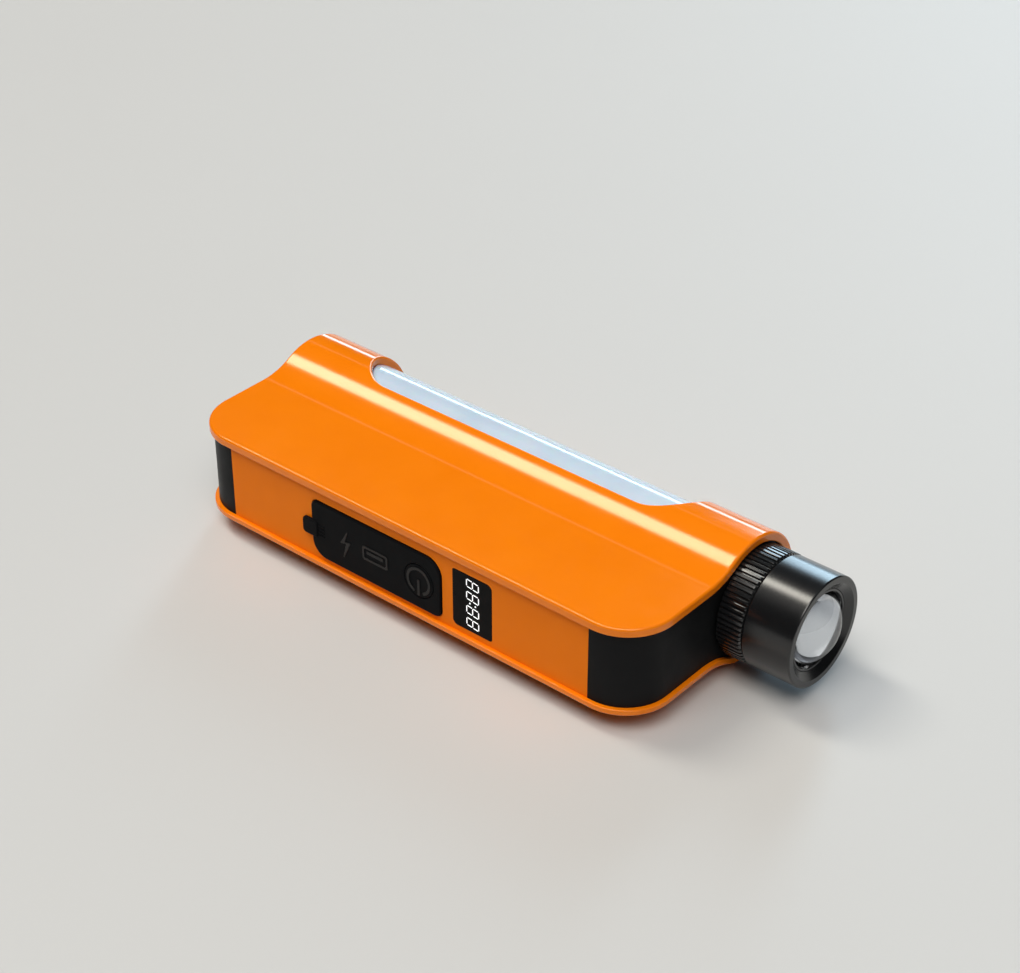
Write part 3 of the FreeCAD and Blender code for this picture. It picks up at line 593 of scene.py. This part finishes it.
def metal_materials(looks):
    looks["anodised_black"] = turned_metal(
        "anodised_black",
        (0.006, 0.0064, 0.0072),
        (0.009, 0.0095, 0.0105),
        (0.2, 0.25),
        metallic=0.0,
        Specular_IOR_Level=0.65,
    )
    for name, dark, light, roughness in (
        ("mirror_chrome", (0.78, 0.8, 0.83), (0.85, 0.87, 0.9), (0.06, 0.12)),
        ("reflector_chrome", (0.3, 0.32, 0.35), (0.36, 0.38, 0.41), (0.1, 0.18)),
        ("bare_aluminium", (0.55, 0.56, 0.58), (0.66, 0.67, 0.69), (0.3, 0.42)),
    ):
        looks[name] = turned_metal(name, dark, light, roughness)
    for name, dark, light, roughness, rings in (
        ("plated_steel", (0.42, 0.42, 0.43), (0.56, 0.56, 0.57), (0.24, 0.36), 700.0),
        ("copper_wire", (0.5, 0.17, 0.05), (0.66, 0.25, 0.08), (0.25, 0.4), 1800.0),
    ):
        looks[name] = turned_metal(name, dark, light, roughness, rings=rings)


def clear_materials(looks):
    n = Nodes("lens_clear")
    n.link(n.span(n.noise(260.0, 4.0), 0.35, 0.75, 0.0, 0.012), n.shader.inputs["Roughness"])
    n.bump(n.noise(40.0, 1.0), 0.015, 0.00005)
    n.set(Base_Color=(0.7, 0.74, 0.79, 1), Transmission_Weight=1.0, IOR=1.5)
    looks["lens_clear"] = n.material

    n = Nodes("diffuser_white")
    shades = n.colours(n.noise(50.0), (0.3, (0.56, 0.68, 0.82)), (0.7, (0.62, 0.73, 0.86)))
    n.link(shades, n.shader.inputs["Base Color"])
    n.link(n.span(n.noise(900.0), 0.3, 0.7, 0.16, 0.24), n.shader.inputs["Roughness"])
    n.bump(n.noise(1.0, 1.0, 0.4, n.stretch((30.0, 2500.0, 2500.0))), 0.05, 0.00002)
    n.set(Subsurface_Weight=0.3, Subsurface_Scale=0.003, Coat_Weight=0.6, Coat_Roughness=0.05)
    looks["diffuser_white"] = n.material

    n = Nodes("display_black")
    shades = n.colours(n.noise(300.0), (0.3, (0.0035, 0.0036, 0.004)), (0.7, (0.006, 0.006, 0.0065)))
    n.link(shades, n.shader.inputs["Base Color"])
    n.link(n.span(n.noise(500.0, 4.0), 0.35, 0.7, 0.1, 0.2), n.shader.inputs["Roughness"])
    n.set(Specular_IOR_Level=0.05)
    looks["display_black"] = n.material

    n = Nodes("digit_light")
    glow = n.colours(n.noise(1500.0), (0.3, (0.86, 0.9, 0.93)), (0.7, (1.0, 1.0, 1.0)))
    n.link(glow, n.shader.inputs["Base Color"])
    n.link(glow, n.shader.inputs["Emission Color"])
    n.set(Emission_Strength=0.75, Roughness=0.4)
    looks["digit_light"] = n.material


def hidden_materials(looks):
    """Looks of what is inside: darkest and lightest colour, gloss, grain, bump and patch scale."""
    for name, dark, light, roughness, grain, bump, scale in (
        ("circuit_board", (0.008, 0.09, 0.03), (0.014, 0.14, 0.05), (0.3, 0.45), 1800, (0.2, 4e-5), 500),
        ("component_black", (0.012, 0.012, 0.013), (0.02, 0.02, 0.021), (0.45, 0.6), 3000, (0.15, 3e-5), 60),
        ("phosphor", (0.85, 0.68, 0.16), (0.95, 0.8, 0.28), (0.4, 0.6), 4000, (0.2, 3e-5), 800),
        ("cell_wrap", (0.01, 0.08, 0.32), (0.016, 0.11, 0.42), (0.2, 0.32), 900, (0.1, 4e-5), 60),
        ("ferrite_dark", (0.03, 0.03, 0.033), (0.06, 0.06, 0.064), (0.5, 0.7), 2600, (0.3, 5e-5), 60),
        ("speaker_paper", (0.018,) * 3, (0.035, 0.034, 0.033), (0.8, 0.95), 2200, (0.5, 8e-5), 60),
        ("foam_black", (0.012,) * 3, (0.022,) * 3, (0.85, 1.0), 3200, (0.6, 1e-4), 60),
    ):
        looks[name] = varied(name, dark, light, roughness, grain, bump, scale)


LOOKS = make_materials()
metal_materials(LOOKS)
clear_materials(LOOKS)
hidden_materials(LOOKS)

SLOT_OF = {row["node"]: row["material_slot"] for row in frame["record"]["subparts"]}
LOOK_OF = {"front_panel": "orange_band", "rear_panel": "orange_band", "reflector": "reflector_chrome"}
for name, thing in frame["nodes"].items():
    thing.data.materials.clear()
    thing.data.materials.append(LOOKS[LOOK_OF.get(name, SLOT_OF[name])])


def added_to(piece, body, node):
    """Finishes a piece that is extra to a CAD node, in that node's slot and look."""
    finish_piece(piece, body, LOOKS[SLOT_OF[node]])


def piece_of(piece, body, node):
    """Finishes a piece that stands for a CAD node, in that node's slot and look."""
    added_to(piece, body, node)
    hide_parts(node)


# ---- covers


def cover_outline(height):
    """A cover's outline in (x, distance along the curve), up to its rear seam."""
    radius = CORNER
    length = curve_length(height)
    return (
        arc((BODY_LEFT + radius, radius), radius, 180, 270, 28)
        + arc((BODY_RIGHT - radius, radius), radius, 270, 360, 28)
        + [(BODY_RIGHT, length), (BODY_LEFT, length)]
    )


def light_slot(margin):
    """The light slot's outline in (x, distance along the curve), smaller by a margin.

    Its front is a bar with round ends as seen along the slot's tilt; from the bar's
    middle line it carries on straight round the back."""
    half = SLOT_HALF - margin

    def spot(end, degrees):
        turn = math.radians(degrees)
        tilt = SLOT_TILT + math.asin(half * math.sin(turn) / BARREL)
        return (end + half * math.cos(turn), TOP_AT + BARREL * tilt)

    rear = TOP_AT + BARREL * SLOT_REAR - margin
    easing = 3.0
    loop = [spot(SLOT_LEFT, t) for t in np.linspace(180, 270, 31)]
    loop += [spot(SLOT_RIGHT, t) for t in np.linspace(270, 360, 31)]
    loop += arc((SLOT_RIGHT + half - easing, rear - easing), easing, 0, 90, 6)
    loop += arc((SLOT_LEFT - half + easing, rear - easing), easing, 90, 180, 6)
    return loop


def build_covers():
    """Both covers, with the light slot in the top and the screw holes in the bottom."""
    screw_hole = 2.4
    screws = [circle((x, y - FRONT), screw_hole, 32) for x, y in screw_spots()]
    for node, side, height, holes, wall, back in (
        ("top_cover", 1, REAR_HIGH, [light_slot(0.0)], TOP_WALL, 0.5),
        ("bottom_cover", -1, -REAR_LOW, screws, BOTTOM_WALL, 0.35),
    ):
        surface = s_surface(side)
        outline = cover_outline(height)
        shell = plate(
            node + "_shell", surface, outline, holes, wall, edge=0.9, back=back, spacing=(3.0, 1.1), turns=6
        )
        piece_of(shell, "housing", node)


def screw_spots():
    """Where the four screws are: the corners of their node's box."""
    low, high = mm_box("housing_screws")
    head = 2.3
    return [(x, y) for x in (low[0] + head, high[0] - head) for y in (low[1] + head, high[1] - head)]


build_covers()


def build_diffuser():
    """The light's lens, which fills the slot a little below the cover."""

    def at(uv, depth):
        tilt = (TOP_AT - uv[:, 1]) / BARREL
        nothing = 0 * tilt
        normal = np.stack([nothing, -np.sin(tilt), np.cos(tilt)], 1)
        along = np.stack([nothing + 1, nothing, nothing], 1)
        across = np.stack([nothing, np.cos(tilt), np.sin(tilt)], 1)
        centre = np.stack([uv[:, 0], AXIS_Y + nothing, AXIS_Z + nothing], 1)
        return centre + normal * (DIFFUSER - depth)[:, None], normal, along, across

    clearance = 0.12
    wall = 2.2
    outline = light_slot(clearance)
    lens = plate("light_diffuser_lens", at, outline, (), wall, edge=0.25, back=0.2, spacing=(4.0, 1.1))
    piece_of(lens, "housing", "light_diffuser")


build_diffuser()


# ---- end caps


def section_height(y, side, wall):
    """Height of a cover's inner surface at a place across the body."""
    hollow = HOLLOW + wall
    barrel = BARREL - wall
    join = AXIS_Y - RUN * barrel / REACH
    if y < AXIS_Y - RUN:
        rise = FLAT - wall
    elif y < join:
        rise = FLAT - wall + hollow - math.sqrt(hollow**2 - (y - (AXIS_Y - RUN)) ** 2)
    else:
        rise = math.sqrt(max(barrel**2 - (y - AXIS_Y) ** 2, 0.0))
    return AXIS_Z + side * rise


def build_caps():
    """The black band's ends, wrapped round the corner and shaped to the covers.

    A flat return closes the end of the rear strip."""
    wall = 2.2
    wrap_end = AXIS_Y + 16.4
    torch_hole = 13.3
    antenna_y, antenna_z, antenna_hole = -4.0, 30.4, 3.3
    for left, node, body_seam in ((True, "left_end_cap", SEAM_LEFT), (False, "right_end_cap", SEAM_RIGHT)):
        surface, quarter = wrap_surface(left)
        side = -1.0 if left else 1.0
        radius = CORNER - OVERHANG
        face = CAP_LEFT if left else CAP_RIGHT
        seam = (body_seam - (face - side * radius)) * side
        start_y = PANEL_LOW[1]

        def travel(y):
            return quarter + (y - start_y - radius)

        ys = np.linspace(start_y + radius, wrap_end, 90)
        low = [(seam, PANEL_LOW[2]), (quarter, PANEL_LOW[2])]
        low += [(travel(y), section_height(y, -1, BOTTOM_WALL)) for y in ys]
        high = [(travel(y), section_height(y, 1, TOP_WALL)) for y in ys[::-1]]
        high += [(quarter, PANEL_HIGH[2]), (seam, PANEL_HIGH[2])]
        outline = [(u * side, v) for u, v in low + high]
        centre = (travel(AXIS_Y) * side, AXIS_Z)
        if left:
            holes = speaker_slots(centre)
            holes.append(circle((travel(antenna_y) * side, antenna_z), antenna_hole, 32))
        else:
            holes = [circle(centre, torch_hole, 96)]
        name = node + "_shell"
        rounding = 0.12
        cap = plate(name, surface, outline, holes, wall, rounding, rounding, (1.2, 40.0), step=1.5, turns=2)
        piece_of(cap, "housing", node)
        rear = flat_surface((0, CAP_REAR, 0), (-1, 0, 0), (0, 0, 1))
        near, far = sorted((-face, -body_seam))
        bottom, top = AXIS_Z + REAR_LOW, AXIS_Z + REAR_HIGH
        corners = [(near, bottom), (far, bottom), (far, top), (near, top)]
        back = plate(node + "_return", rear, corners, (), wall, edge=0.3, back=0.1, turns=3)
        added_to(back, "housing", node)


def speaker_slots(centre):
    """Seven upright slots inside a circle, with round ends."""
    pitch = 3.6
    field = 13.0
    half_width = 0.8
    slots = []
    for number in range(-3, 4):
        offset = number * pitch
        reach = math.sqrt(field**2 - offset**2) - half_width
        middle = centre[0] + offset
        upper = arc((middle, centre[1] + reach), half_width, 0, 180, 8)
        lower = arc((middle, centre[1] - reach), half_width, 180, 360, 8)
        slots.append(upper + lower)
    return slots


build_caps()


# ---- torch


def build_torch():
    """Bezel, lens, retainer and knurled ring as turned pieces."""
    right = BEZEL_HIGH[0]
    outer = (BEZEL_HIGH[1] - BEZEL_LOW[1]) / 2
    left = BEZEL_LOW[0]
    ring_front = RING_HIGH[0]
    seat = mm_box("torch_lens")[0][0]
    tube = 13.27
    skirt = 15.3
    lip = 12.1
    rim = 12.9
    recess = 15.4
    edge = seat + 1.7
    stack = edge + 1.2
    bezel = [
        (left, tube, 0.15),
        (left, skirt, 0.2),
        (ring_front + 0.3, skirt, 0.15),
        (ring_front + 0.3, outer, 0.35),
        (right, outer, 0.55),
        (right, recess, 0.3),
        (stack, rim + 0.1, 0.15),
        (seat - 0.8, rim, 0.1),
        (seat - 0.8, lip, 0.1),
        (seat - 1.6, lip, 0.1),
        (seat - 1.6, tube, 0.1),
    ]
    piece_of(lathe("torch_bezel_turned", bezel, count=192), "torch_head", "torch_bezel")
    clip = [(edge, rim - 0.9, 0.08), (edge, rim, 0.08), (stack, rim, 0.08), (stack, rim - 0.7, 0.15)]
    piece_of(lathe("lens_retainer_turned", clip, count=160), "torch_head", "lens_retainer")
    piece_of(lens_mesh(seat, edge, rim - 0.05), "torch_head", "torch_lens")
    piece_of(knurled_ring(), "focus_ring", "focus_ring")


def lens_mesh(back, edge, rim):
    """A thick plano-convex lens."""
    dome = 14.1
    inner = rim - 1.0
    swing = math.asin(inner / dome)
    centre = edge - dome * math.cos(swing)
    profile = [((back, 0.0), (-1, 0)), ((back, rim - 0.25), (-1, 0)), ((back + 0.25, rim), (0, 1))]
    profile += [((edge - 0.1, rim), (0, 1)), ((edge, rim - 0.1), (1, 0)), ((edge, inner + 0.05), (1, 0))]
    for k in range(41):
        t = swing * (1 - k / 40)
        profile.append(((centre + dome * math.cos(t), dome * math.sin(t)), (math.cos(t), math.sin(t))))
    count = 128
    points, normals, faces = [], [], []
    for (x, r), (nx, nr) in profile:
        if r < 1e-6:
            points.append((x, AXIS_Y, AXIS_Z))
            normals.append((nx, 0, 0))
            continue
        for t in np.linspace(0, 2 * math.pi, count, endpoint=False):
            points.append((x, AXIS_Y + r * math.cos(t), AXIS_Z + r * math.sin(t)))
            normals.append((nx, nr * math.cos(t), nr * math.sin(t)))
    rows = len(profile) - 2
    last = len(points) - 1
    for i in range(count):
        j = (i + 1) % count
        faces.append((0, 1 + j, 1 + i))
        for row in range(rows - 1):
            a, b = 1 + row * count, 1 + (row + 1) * count
            faces.append((a + j, b + j, b + i, a + i))
        top = 1 + (rows - 1) * count
        faces.append((top + j, last, top + i))
    return new_mesh("torch_lens_ground", points, faces, normals)


def knurled_ring():
    """The focus ring: straight ribs with sloping ends round a turned hub."""
    left, right = RING_LOW[0], RING_HIGH[0]
    outer = (RING_HIGH[1] - RING_LOW[1]) / 2
    skirt = 15.37
    hub = 13.27
    hub_end = left + 3.1
    root = outer - 0.65
    ribs = 66
    # across one rib: share of the pitch and height share
    section = [(0.0, 0.0), (0.16, 0.0), (0.3, 0.86), (0.38, 1.0), (0.78, 1.0), (0.86, 0.86)]
    # along the ring: place, radius of the root, height of the rib
    stations = [
        (left, hub, 0.0),
        (left, root - 0.7, 0.0),
        (left + 0.25, root - 0.2, 0.0),
        (left + 0.5, root, 0.0),
        (left + 0.75, root, 0.75),
        (left + 1.0, root, 1.0),
        (right - 1.0, root, 1.0),
        (right - 0.6, root, 0.9),
        (right - 0.25, root, 0.45),
        (right - 0.1, root, 0.0),
        (right, root - 0.15, 0.0),
        (right, skirt, 0.0),
        (hub_end, skirt, 0.0),
        (hub_end, hub, 0.0),
    ]
    count = ribs * len(section)
    points = []
    for x, radius, height in stations:
        for rib in range(ribs):
            for share, rise in section:
                t = 2 * math.pi * (rib + share) / ribs
                r = radius + (outer - root) * height * rise
                points.append((x, AXIS_Y + r * math.cos(t), AXIS_Z + r * math.sin(t)))
    ring = new_mesh("focus_ring_knurled", points, tube_faces(len(stations), count))
    ring.data.set_sharp_from_angle(angle=math.radians(28))
    return ring


build_torch()


# ---- display side


def build_rubber():
    """The flap and its fixed end as one flat moulding, and the key."""
    low, _ = mm_box("port_flap")
    edge_low, edge_high = mm_box("key_surround")
    flap_left = low[0] + TAB_OVERHANG
    face = edge_low[1]
    key_low, key_high = mm_box("power_key")
    key = ((key_low + key_high) / 2)[[0, 2]]
    key_radius = (key_high[0] - key_low[0]) / 2
    key_gap = 0.12
    radii = [5.8, 2.2, 5.8, 2.2]
    outline = rounded_rectangle((flap_left, edge_low[2]), (edge_high[0], edge_high[2]), radii, 12)
    moulding = plate(
        "port_rubber",
        front_surface(face),
        outline,
        [circle(key, key_radius + key_gap, 72)],
        1.8,
        edge=0.45,
        back=0.2,
        spacing=(0.45, 2.0),
        step=0.8,
        turns=4,
    )
    moulding.data.materials.append(LOOKS["soft_rubber"])
    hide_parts("port_flap", "key_surround")
    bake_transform(moulding)
    shape = circle(key, key_radius, 96)
    disc = plate("power_key_disc", front_surface(face), shape, (), 2.4, edge=0.35, back=0.2, turns=4)
    piece_of(disc, "power_key", "power_key")
    return face, key


FLAP_FACE, KEY = build_rubber()


def raised(name, body, shape, holes=(), look="painted_recess_shade"):
    """A low relief on the rubber, sunk into it a little. Its default colour is near-black painted shade,
    standing for the shade inside a recessed icon.
    """
    height = 0.22
    sunk = 0.1
    edge = 0.1
    surface = front_surface(FLAP_FACE - height)
    relief = plate(name, surface, shape, holes, height + sunk, edge, 0.02, step=0.6, turns=3)
    finish_piece(relief, body, LOOKS[look])


def build_icons():
    """Lightning bolt, port icon and power symbol in low relief."""
    # These reliefs take the near-black painted shade colour, standing for the shade of recessed icons.
    x, z = -34.6, 20.2
    bolt = [(1.6, 6.0), (-2.2, -0.5), (0.3, 0.15), (-1.4, -6.7), (2.3, 1.2), (-0.3, 0.5)]
    raised("icon_bolt", "port_flap", eased([(x + u, z + v) for u, v in bolt], 0.16))

    x, z = -22.3, 20.6
    frame_shape = rounded_rectangle((x - 5.2, z - 2.5), (x + 5.2, z + 2.5), [0.9] * 4, 6)
    mouth = rounded_rectangle((x - 4.4, z - 1.7), (x + 4.4, z + 1.7), [0.5] * 4, 5)
    tongue = rounded_rectangle((x - 3.4, z - 0.1), (x + 3.4, z + 1.0), [0.3] * 4, 4)
    raised("icon_port", "port_flap", frame_shape, [mouth])
    raised("icon_port_tongue", "port_flap", tongue)

    ring_out, ring_in = 4.8, 3.8
    gap = 24
    shape = arc(KEY, ring_out, -90 + gap, 270 - gap, 48) + arc(KEY, ring_in, 270 - gap, -90 + gap, 48)
    raised("icon_power_ring", "power_key", shape)
    low = KEY[1] - ring_out - 0.4
    high = KEY[1] + 0.6
    half_bar = 0.5
    bar = rounded_rectangle((KEY[0] - half_bar, low), (KEY[0] + half_bar, high), [0.45] * 4, 5)
    raised("icon_power_bar", "power_key", bar)


build_icons()


def build_tab():
    """The flap's pull tab: a thick rounded block, with four low ribs beside it on the flap."""
    bottom, top = 17.2, 23.0
    lowest_rib, rib_pitch, half_rib = 18.3, 1.2, 0.22
    low, _ = mm_box("port_flap")
    flap_left = low[0] + TAB_OVERHANG
    front = low[1]
    outline = rounded_rectangle((low[0], bottom), (flap_left + 2.6, top), [1.3, 0.8, 0.8, 1.3], 8)
    depth = PANEL_LOW[1] - 0.15 - front
    tab = plate("flap_tab", front_surface(front), outline, (), depth, edge=0.5, back=0.1, step=0.5, turns=4)
    finish_piece(tab, "port_flap", LOOKS["soft_rubber"])
    left, right = flap_left + 2.9, flap_left + 5.4
    for number in range(4):
        middle = lowest_rib + rib_pitch * number
        rib = rounded_rectangle((left, middle - half_rib), (right, middle + half_rib), [0.2] * 4, 4)
        raised(f"flap_tab_rib{number}", "port_flap", rib, look="soft_rubber")


build_tab()


def build_display():
    """The window and its lit digits, which read from top to bottom."""
    low, high = mm_box("display_window")
    outline = rounded_rectangle((low[0], low[2]), (high[0], high[2]), [1.9, 0.9, 1.9, 0.9], 10)
    front = front_surface(low[1])
    window = plate("display_window_glass", front, outline, (), 1.5, edge=0.15, back=0.1, turns=3)
    piece_of(window, "housing", "display_window")
    proud = 0.03
    surface = front_surface(low[1] - proud)
    centre = (low[0] + 7.9, (low[2] + high[2]) / 2)
    pitch = 4.4
    slant = 0.13
    dot_radius = 0.3

    def lit(name, shape):
        piece = plate(name, surface, shape, (), 0.05, 0.01, 0.005, step=2.0, turns=1)
        finish_piece(piece, "housing", LOOKS["digit_light"])

    for number, spot in enumerate((-1.58, -0.58, 0.58, 1.58)):
        for name, shape in seven_segments():
            lit(
                f"digit{number}_{name}",
                [(centre[0] + v, centre[1] - spot * pitch - u - slant * v) for u, v in shape],
            )
    for number, side in enumerate((-1.05, 1.05)):
        lit(f"colon{number}", circle((centre[0] + side, centre[1] - slant * side), dot_radius, 16))


def seven_segments():
    """Outlines of a figure eight's seven bars, in the digit's own (across, up) axes."""
    half, tall, bar, gap = 1.3, 2.3, 0.36, 0.15
    shapes = []
    for name, (x0, y0), (x1, y1) in (
        ("top", (-half, tall), (half, tall)),
        ("middle", (-half, 0), (half, 0)),
        ("bottom", (-half, -tall), (half, -tall)),
        ("upper_left", (-half, 0), (-half, tall)),
        ("upper_right", (half, 0), (half, tall)),
        ("lower_left", (-half, -tall), (-half, 0)),
        ("lower_right", (half, -tall), (half, 0)),
    ):
        along = np.array([x1 - x0, y1 - y0], float)
        length = np.linalg.norm(along)
        along /= length
        side = np.array([-along[1], along[0]])
        start = np.array([x0, y0]) + along * gap
        end = np.array([x1, y1]) - along * gap
        half_bar = bar / 2
        outline = [
            start,
            start + (along - side) * half_bar,
            end - (along + side) * half_bar,
            end,
            end - (along - side) * half_bar,
            start + (along + side) * half_bar,
        ]
        shapes.append((name, [tuple(point) for point in outline]))
    return shapes


build_display()


def build_buttons():
    """The three rear buttons: round caps with a raised minus, plus and ring."""
    cap_radius = 2.5
    relief = 0.12
    long_half, short_half = 1.1, 0.22
    ring_out, ring_in = 1.2, 0.8
    for node in ("tune_down_button", "tune_up_button", "mode_button"):
        low, high = mm_box(node)
        x, z = -(low[0] + high[0]) / 2, (low[2] + high[2]) / 2
        face = flat_surface((0, high[1], 0), (-1, 0, 0), (0, 0, 1))
        top = flat_surface((0, high[1] + relief, 0), (-1, 0, 0), (0, 0, 1))
        disc = circle((x, z), cap_radius, 72)
        cap = plate(node + "_cap", face, disc, (), 4.0, edge=0.55, back=0.1, step=0.5, turns=5)
        piece_of(cap, node, node)
        bars = []
        if node != "mode_button":
            bars.append((long_half, short_half))
        if node == "tune_up_button":
            bars.append((short_half, long_half))
        for number, (across, up) in enumerate(bars):
            bar = rounded_rectangle((x - across, z - up), (x + across, z + up), [0.2] * 4, 4)
            mark = plate(f"{node}_mark{number}", top, bar, (), 0.4, edge=0.08, back=0.02, step=0.5, turns=2)
            added_to(mark, node, node)
        if node == "mode_button":
            outside = circle((x, z), ring_out, 40)
            inner = [circle((x, z), ring_in, 32)]
            ring = plate(node + "_ring", top, outside, inner, 0.4, edge=0.08, back=0.02, step=0.5)
            added_to(ring, node, node)


build_buttons()


# ---- feet


def build_feet():
    """Rubber feet with rounded edges; the front pair are tall, the rear pair are pads."""
    rear_trim = 0.1
    for end in ("front", "rear"):
        for side in ("left", "right"):
            node = f"{end}_foot_{side}"
            low, high = mm_box(node)
            outline = rounded_rectangle((low[0], -high[1]), (high[0], -low[1]), [3.9] * 4, 10)
            under = flat_surface((0, 0, low[2]), (1, 0, 0), (0, -1, 0))
            height = high[2] - low[2] - (rear_trim if end == "rear" else 0.0)
            foot = plate(node + "_moulded", under, outline, (), height, edge=0.6, back=0.05, turns=4)
            piece_of(foot, "housing", node)


build_feet()


# ---- stage, light and camera


def build_stage():
    """The pale floor and the soft sky."""
    n = Nodes("floor_paint")
    paint = n.colours(n.noise(3.0), (0.3, (0.605, 0.603, 0.6)), (0.7, (0.615, 0.613, 0.61)))
    n.link(paint, n.shader.inputs["Base Color"])
    n.set(Roughness=0.55)
    mesh = bpy.data.meshes.new("floor")
    reach = 6.0
    corners = [(-reach, -reach, 0), (reach, -reach, 0), (reach, reach, 0), (-reach, reach, 0)]
    mesh.from_pydata(corners, [], [(0, 1, 2, 3)])
    floor = bpy.data.objects.new("floor", mesh)
    mesh.materials.append(n.material)
    bpy.context.scene.collection.objects.link(floor)
    studio_sky()


def studio_sky():
    """Soft light from above, dark at the horizon, with long strips of light along X.

    Each strip is a band of angles about the X axis, from the horizon behind the object
    (0) over the top (90) to the horizon in front (180).
    Windows on the sky's x keep each light to its place along the body: fore is a broad
    soft light in front, and aft is a narrow one for the torch head."""
    world = bpy.data.worlds.new("studio")
    bpy.context.scene.world = world
    world.use_nodes = True
    tree = world.node_tree
    background = tree.nodes["Background"]

    def node(kind, **values):
        made = tree.nodes.new(kind)
        for key, value in values.items():
            setattr(made, key, value)
        return made

    def ramp(value, stops, ease):
        made = node("ShaderNodeValToRGB")
        made.color_ramp.interpolation = ease
        while len(made.color_ramp.elements) < len(stops):
            made.color_ramp.elements.new(0.5)
        for element, (position, colour) in zip(made.color_ramp.elements, stops):
            element.position = position
            element.color = (*colour, 1)
        tree.links.new(value, made.inputs["Fac"])
        return made.outputs["Color"]

    def math_node(operation, *inputs):
        made = node("ShaderNodeMath", operation=operation)
        for socket, value in zip(made.inputs, inputs):
            if isinstance(value, float):
                socket.default_value = value
            else:
                tree.links.new(value, socket)
        return made.outputs["Value"]

    def scaled(colour, factor):
        made = node("ShaderNodeVectorMath", operation="SCALE")
        tree.links.new(colour, made.inputs[0])
        if isinstance(factor, float):
            made.inputs["Scale"].default_value = factor
        else:
            tree.links.new(factor, made.inputs["Scale"])
        return made.outputs["Vector"]

    def between(value, low, high):
        made = node("ShaderNodeMapRange", interpolation_type="SMOOTHSTEP")
        made.inputs["From Min"].default_value = low
        made.inputs["From Max"].default_value = high
        tree.links.new(value, made.inputs["Value"])
        return made.outputs["Result"]

    direction = node("ShaderNodeTexCoord").outputs["Generated"]
    split = node("ShaderNodeSeparateXYZ")
    tree.links.new(direction, split.inputs["Vector"])
    x, y, z = (split.outputs[letter] for letter in "XYZ")
    turn = math_node("DIVIDE", math_node("ARCTAN2", z, y), math.pi)

    blue = np.array([0.62, 0.84, 1.0])
    warm = np.array([1.0, 0.96, 0.85])
    dark = (0.0, 0.0, 0.0)
    strips = []
    for start, stop, soft, colour, level in (
        (6.5, 13.0, 1.5, blue, 0.5),
        (45.5, 47.0, 1.2, warm, 0.07),
        (91.0, 99.0, 5.0, warm, 1.2),
    ):
        shade = tuple(colour * level)
        strips += [((start - soft) / 180, dark), (start / 180, shade)]
        strips += [(stop / 180, shade), ((stop + soft) / 180, dark)]
    window = math_node("MULTIPLY", between(x, -0.74, -0.66), between(x, -0.3, -0.38))
    strip_light = scaled(scaled(ramp(turn, strips, "LINEAR"), 12.0), window)
    height = [
        (0.0, (0.008, 0.01, 0.013)),
        (0.30, (0.012, 0.015, 0.02)),
        (0.60, (0.03, 0.034, 0.04)),
        (0.85, (0.26, 0.27, 0.285)),
        (1.0, (0.86, 0.885, 0.93)),
    ]
    side = between(x, -0.45, 0.25)
    dome_level = 0.75
    left_level = 0.25
    shading = math_node("ADD", math_node("MULTIPLY", side, 1.0 - left_level), left_level)
    dome = scaled(scaled(ramp(z, height, "EASE"), dome_level), shading)
    front = (1.0, 0.96, 0.9)
    fore = [(0.0, dark), (0.53, dark), (0.58, front), (0.67, front), (0.74, dark)]
    fore_window = math_node("MULTIPLY", between(x, -0.4, -0.15), between(x, 0.75, 0.45))
    fore_light = scaled(scaled(ramp(turn, fore, "EASE"), 5.2), fore_window)
    rear = tuple(blue)
    aft = [(0.0, dark), (0.03, dark), (0.13, rear), (0.16, rear), (0.26, dark)]
    aft_window = math_node("MULTIPLY", between(x, -0.446, -0.43), between(x, -0.25, -0.33))
    aft_light = scaled(scaled(ramp(turn, aft, "EASE"), 12.0), aft_window)
    total = dome
    for light in (strip_light, fore_light, aft_light):
        joined = node("ShaderNodeVectorMath", operation="ADD")
        tree.links.new(total, joined.inputs[0])
        tree.links.new(light, joined.inputs[1])
        total = joined.outputs["Vector"]
    tree.links.new(total, background.inputs["Color"])
    background.inputs["Strength"].default_value = 1.0


def build_fill():
    """A weak square area light, high on the right and aimed at the body."""
    light = bpy.data.lights.new("fill", "AREA")
    light.shape = "RECTANGLE"
    light.size, light.size_y = 1.2, 1.2
    light.energy = 0.8
    lamp = bpy.data.objects.new("fill", light)
    spot = Vector((0.9, -0.3, 1.9))
    target = Vector((0.0, 0.0, 0.02))
    lamp.location = spot
    lamp.rotation_mode = "QUATERNION"
    lamp.rotation_quaternion = (target - spot).to_track_quat("-Z", "Y")
    bpy.context.scene.collection.objects.link(lamp)


def build_camera():
    """The camera stands in front, to the right and above, and looks down at the middle."""
    data = bpy.data.cameras.new("camera")
    data.lens = 80.86
    data.sensor_width = 36.0
    camera = bpy.data.objects.new("camera", data)
    camera.location = (0.37426, -0.44116, 0.4197)
    azimuth, elevation = math.radians(40.39), math.radians(33.49)
    level = math.cos(elevation)
    look = Vector((-math.sin(azimuth) * level, math.cos(azimuth) * level, -math.sin(elevation)))
    camera.rotation_mode = "QUATERNION"
    camera.rotation_quaternion = look.to_track_quat("-Z", "Y")
    bpy.context.scene.collection.objects.link(camera)
    bpy.context.scene.camera = camera


build_stage()
build_fill()
build_camera()
bpy.context.scene.view_settings.view_transform = "Standard"
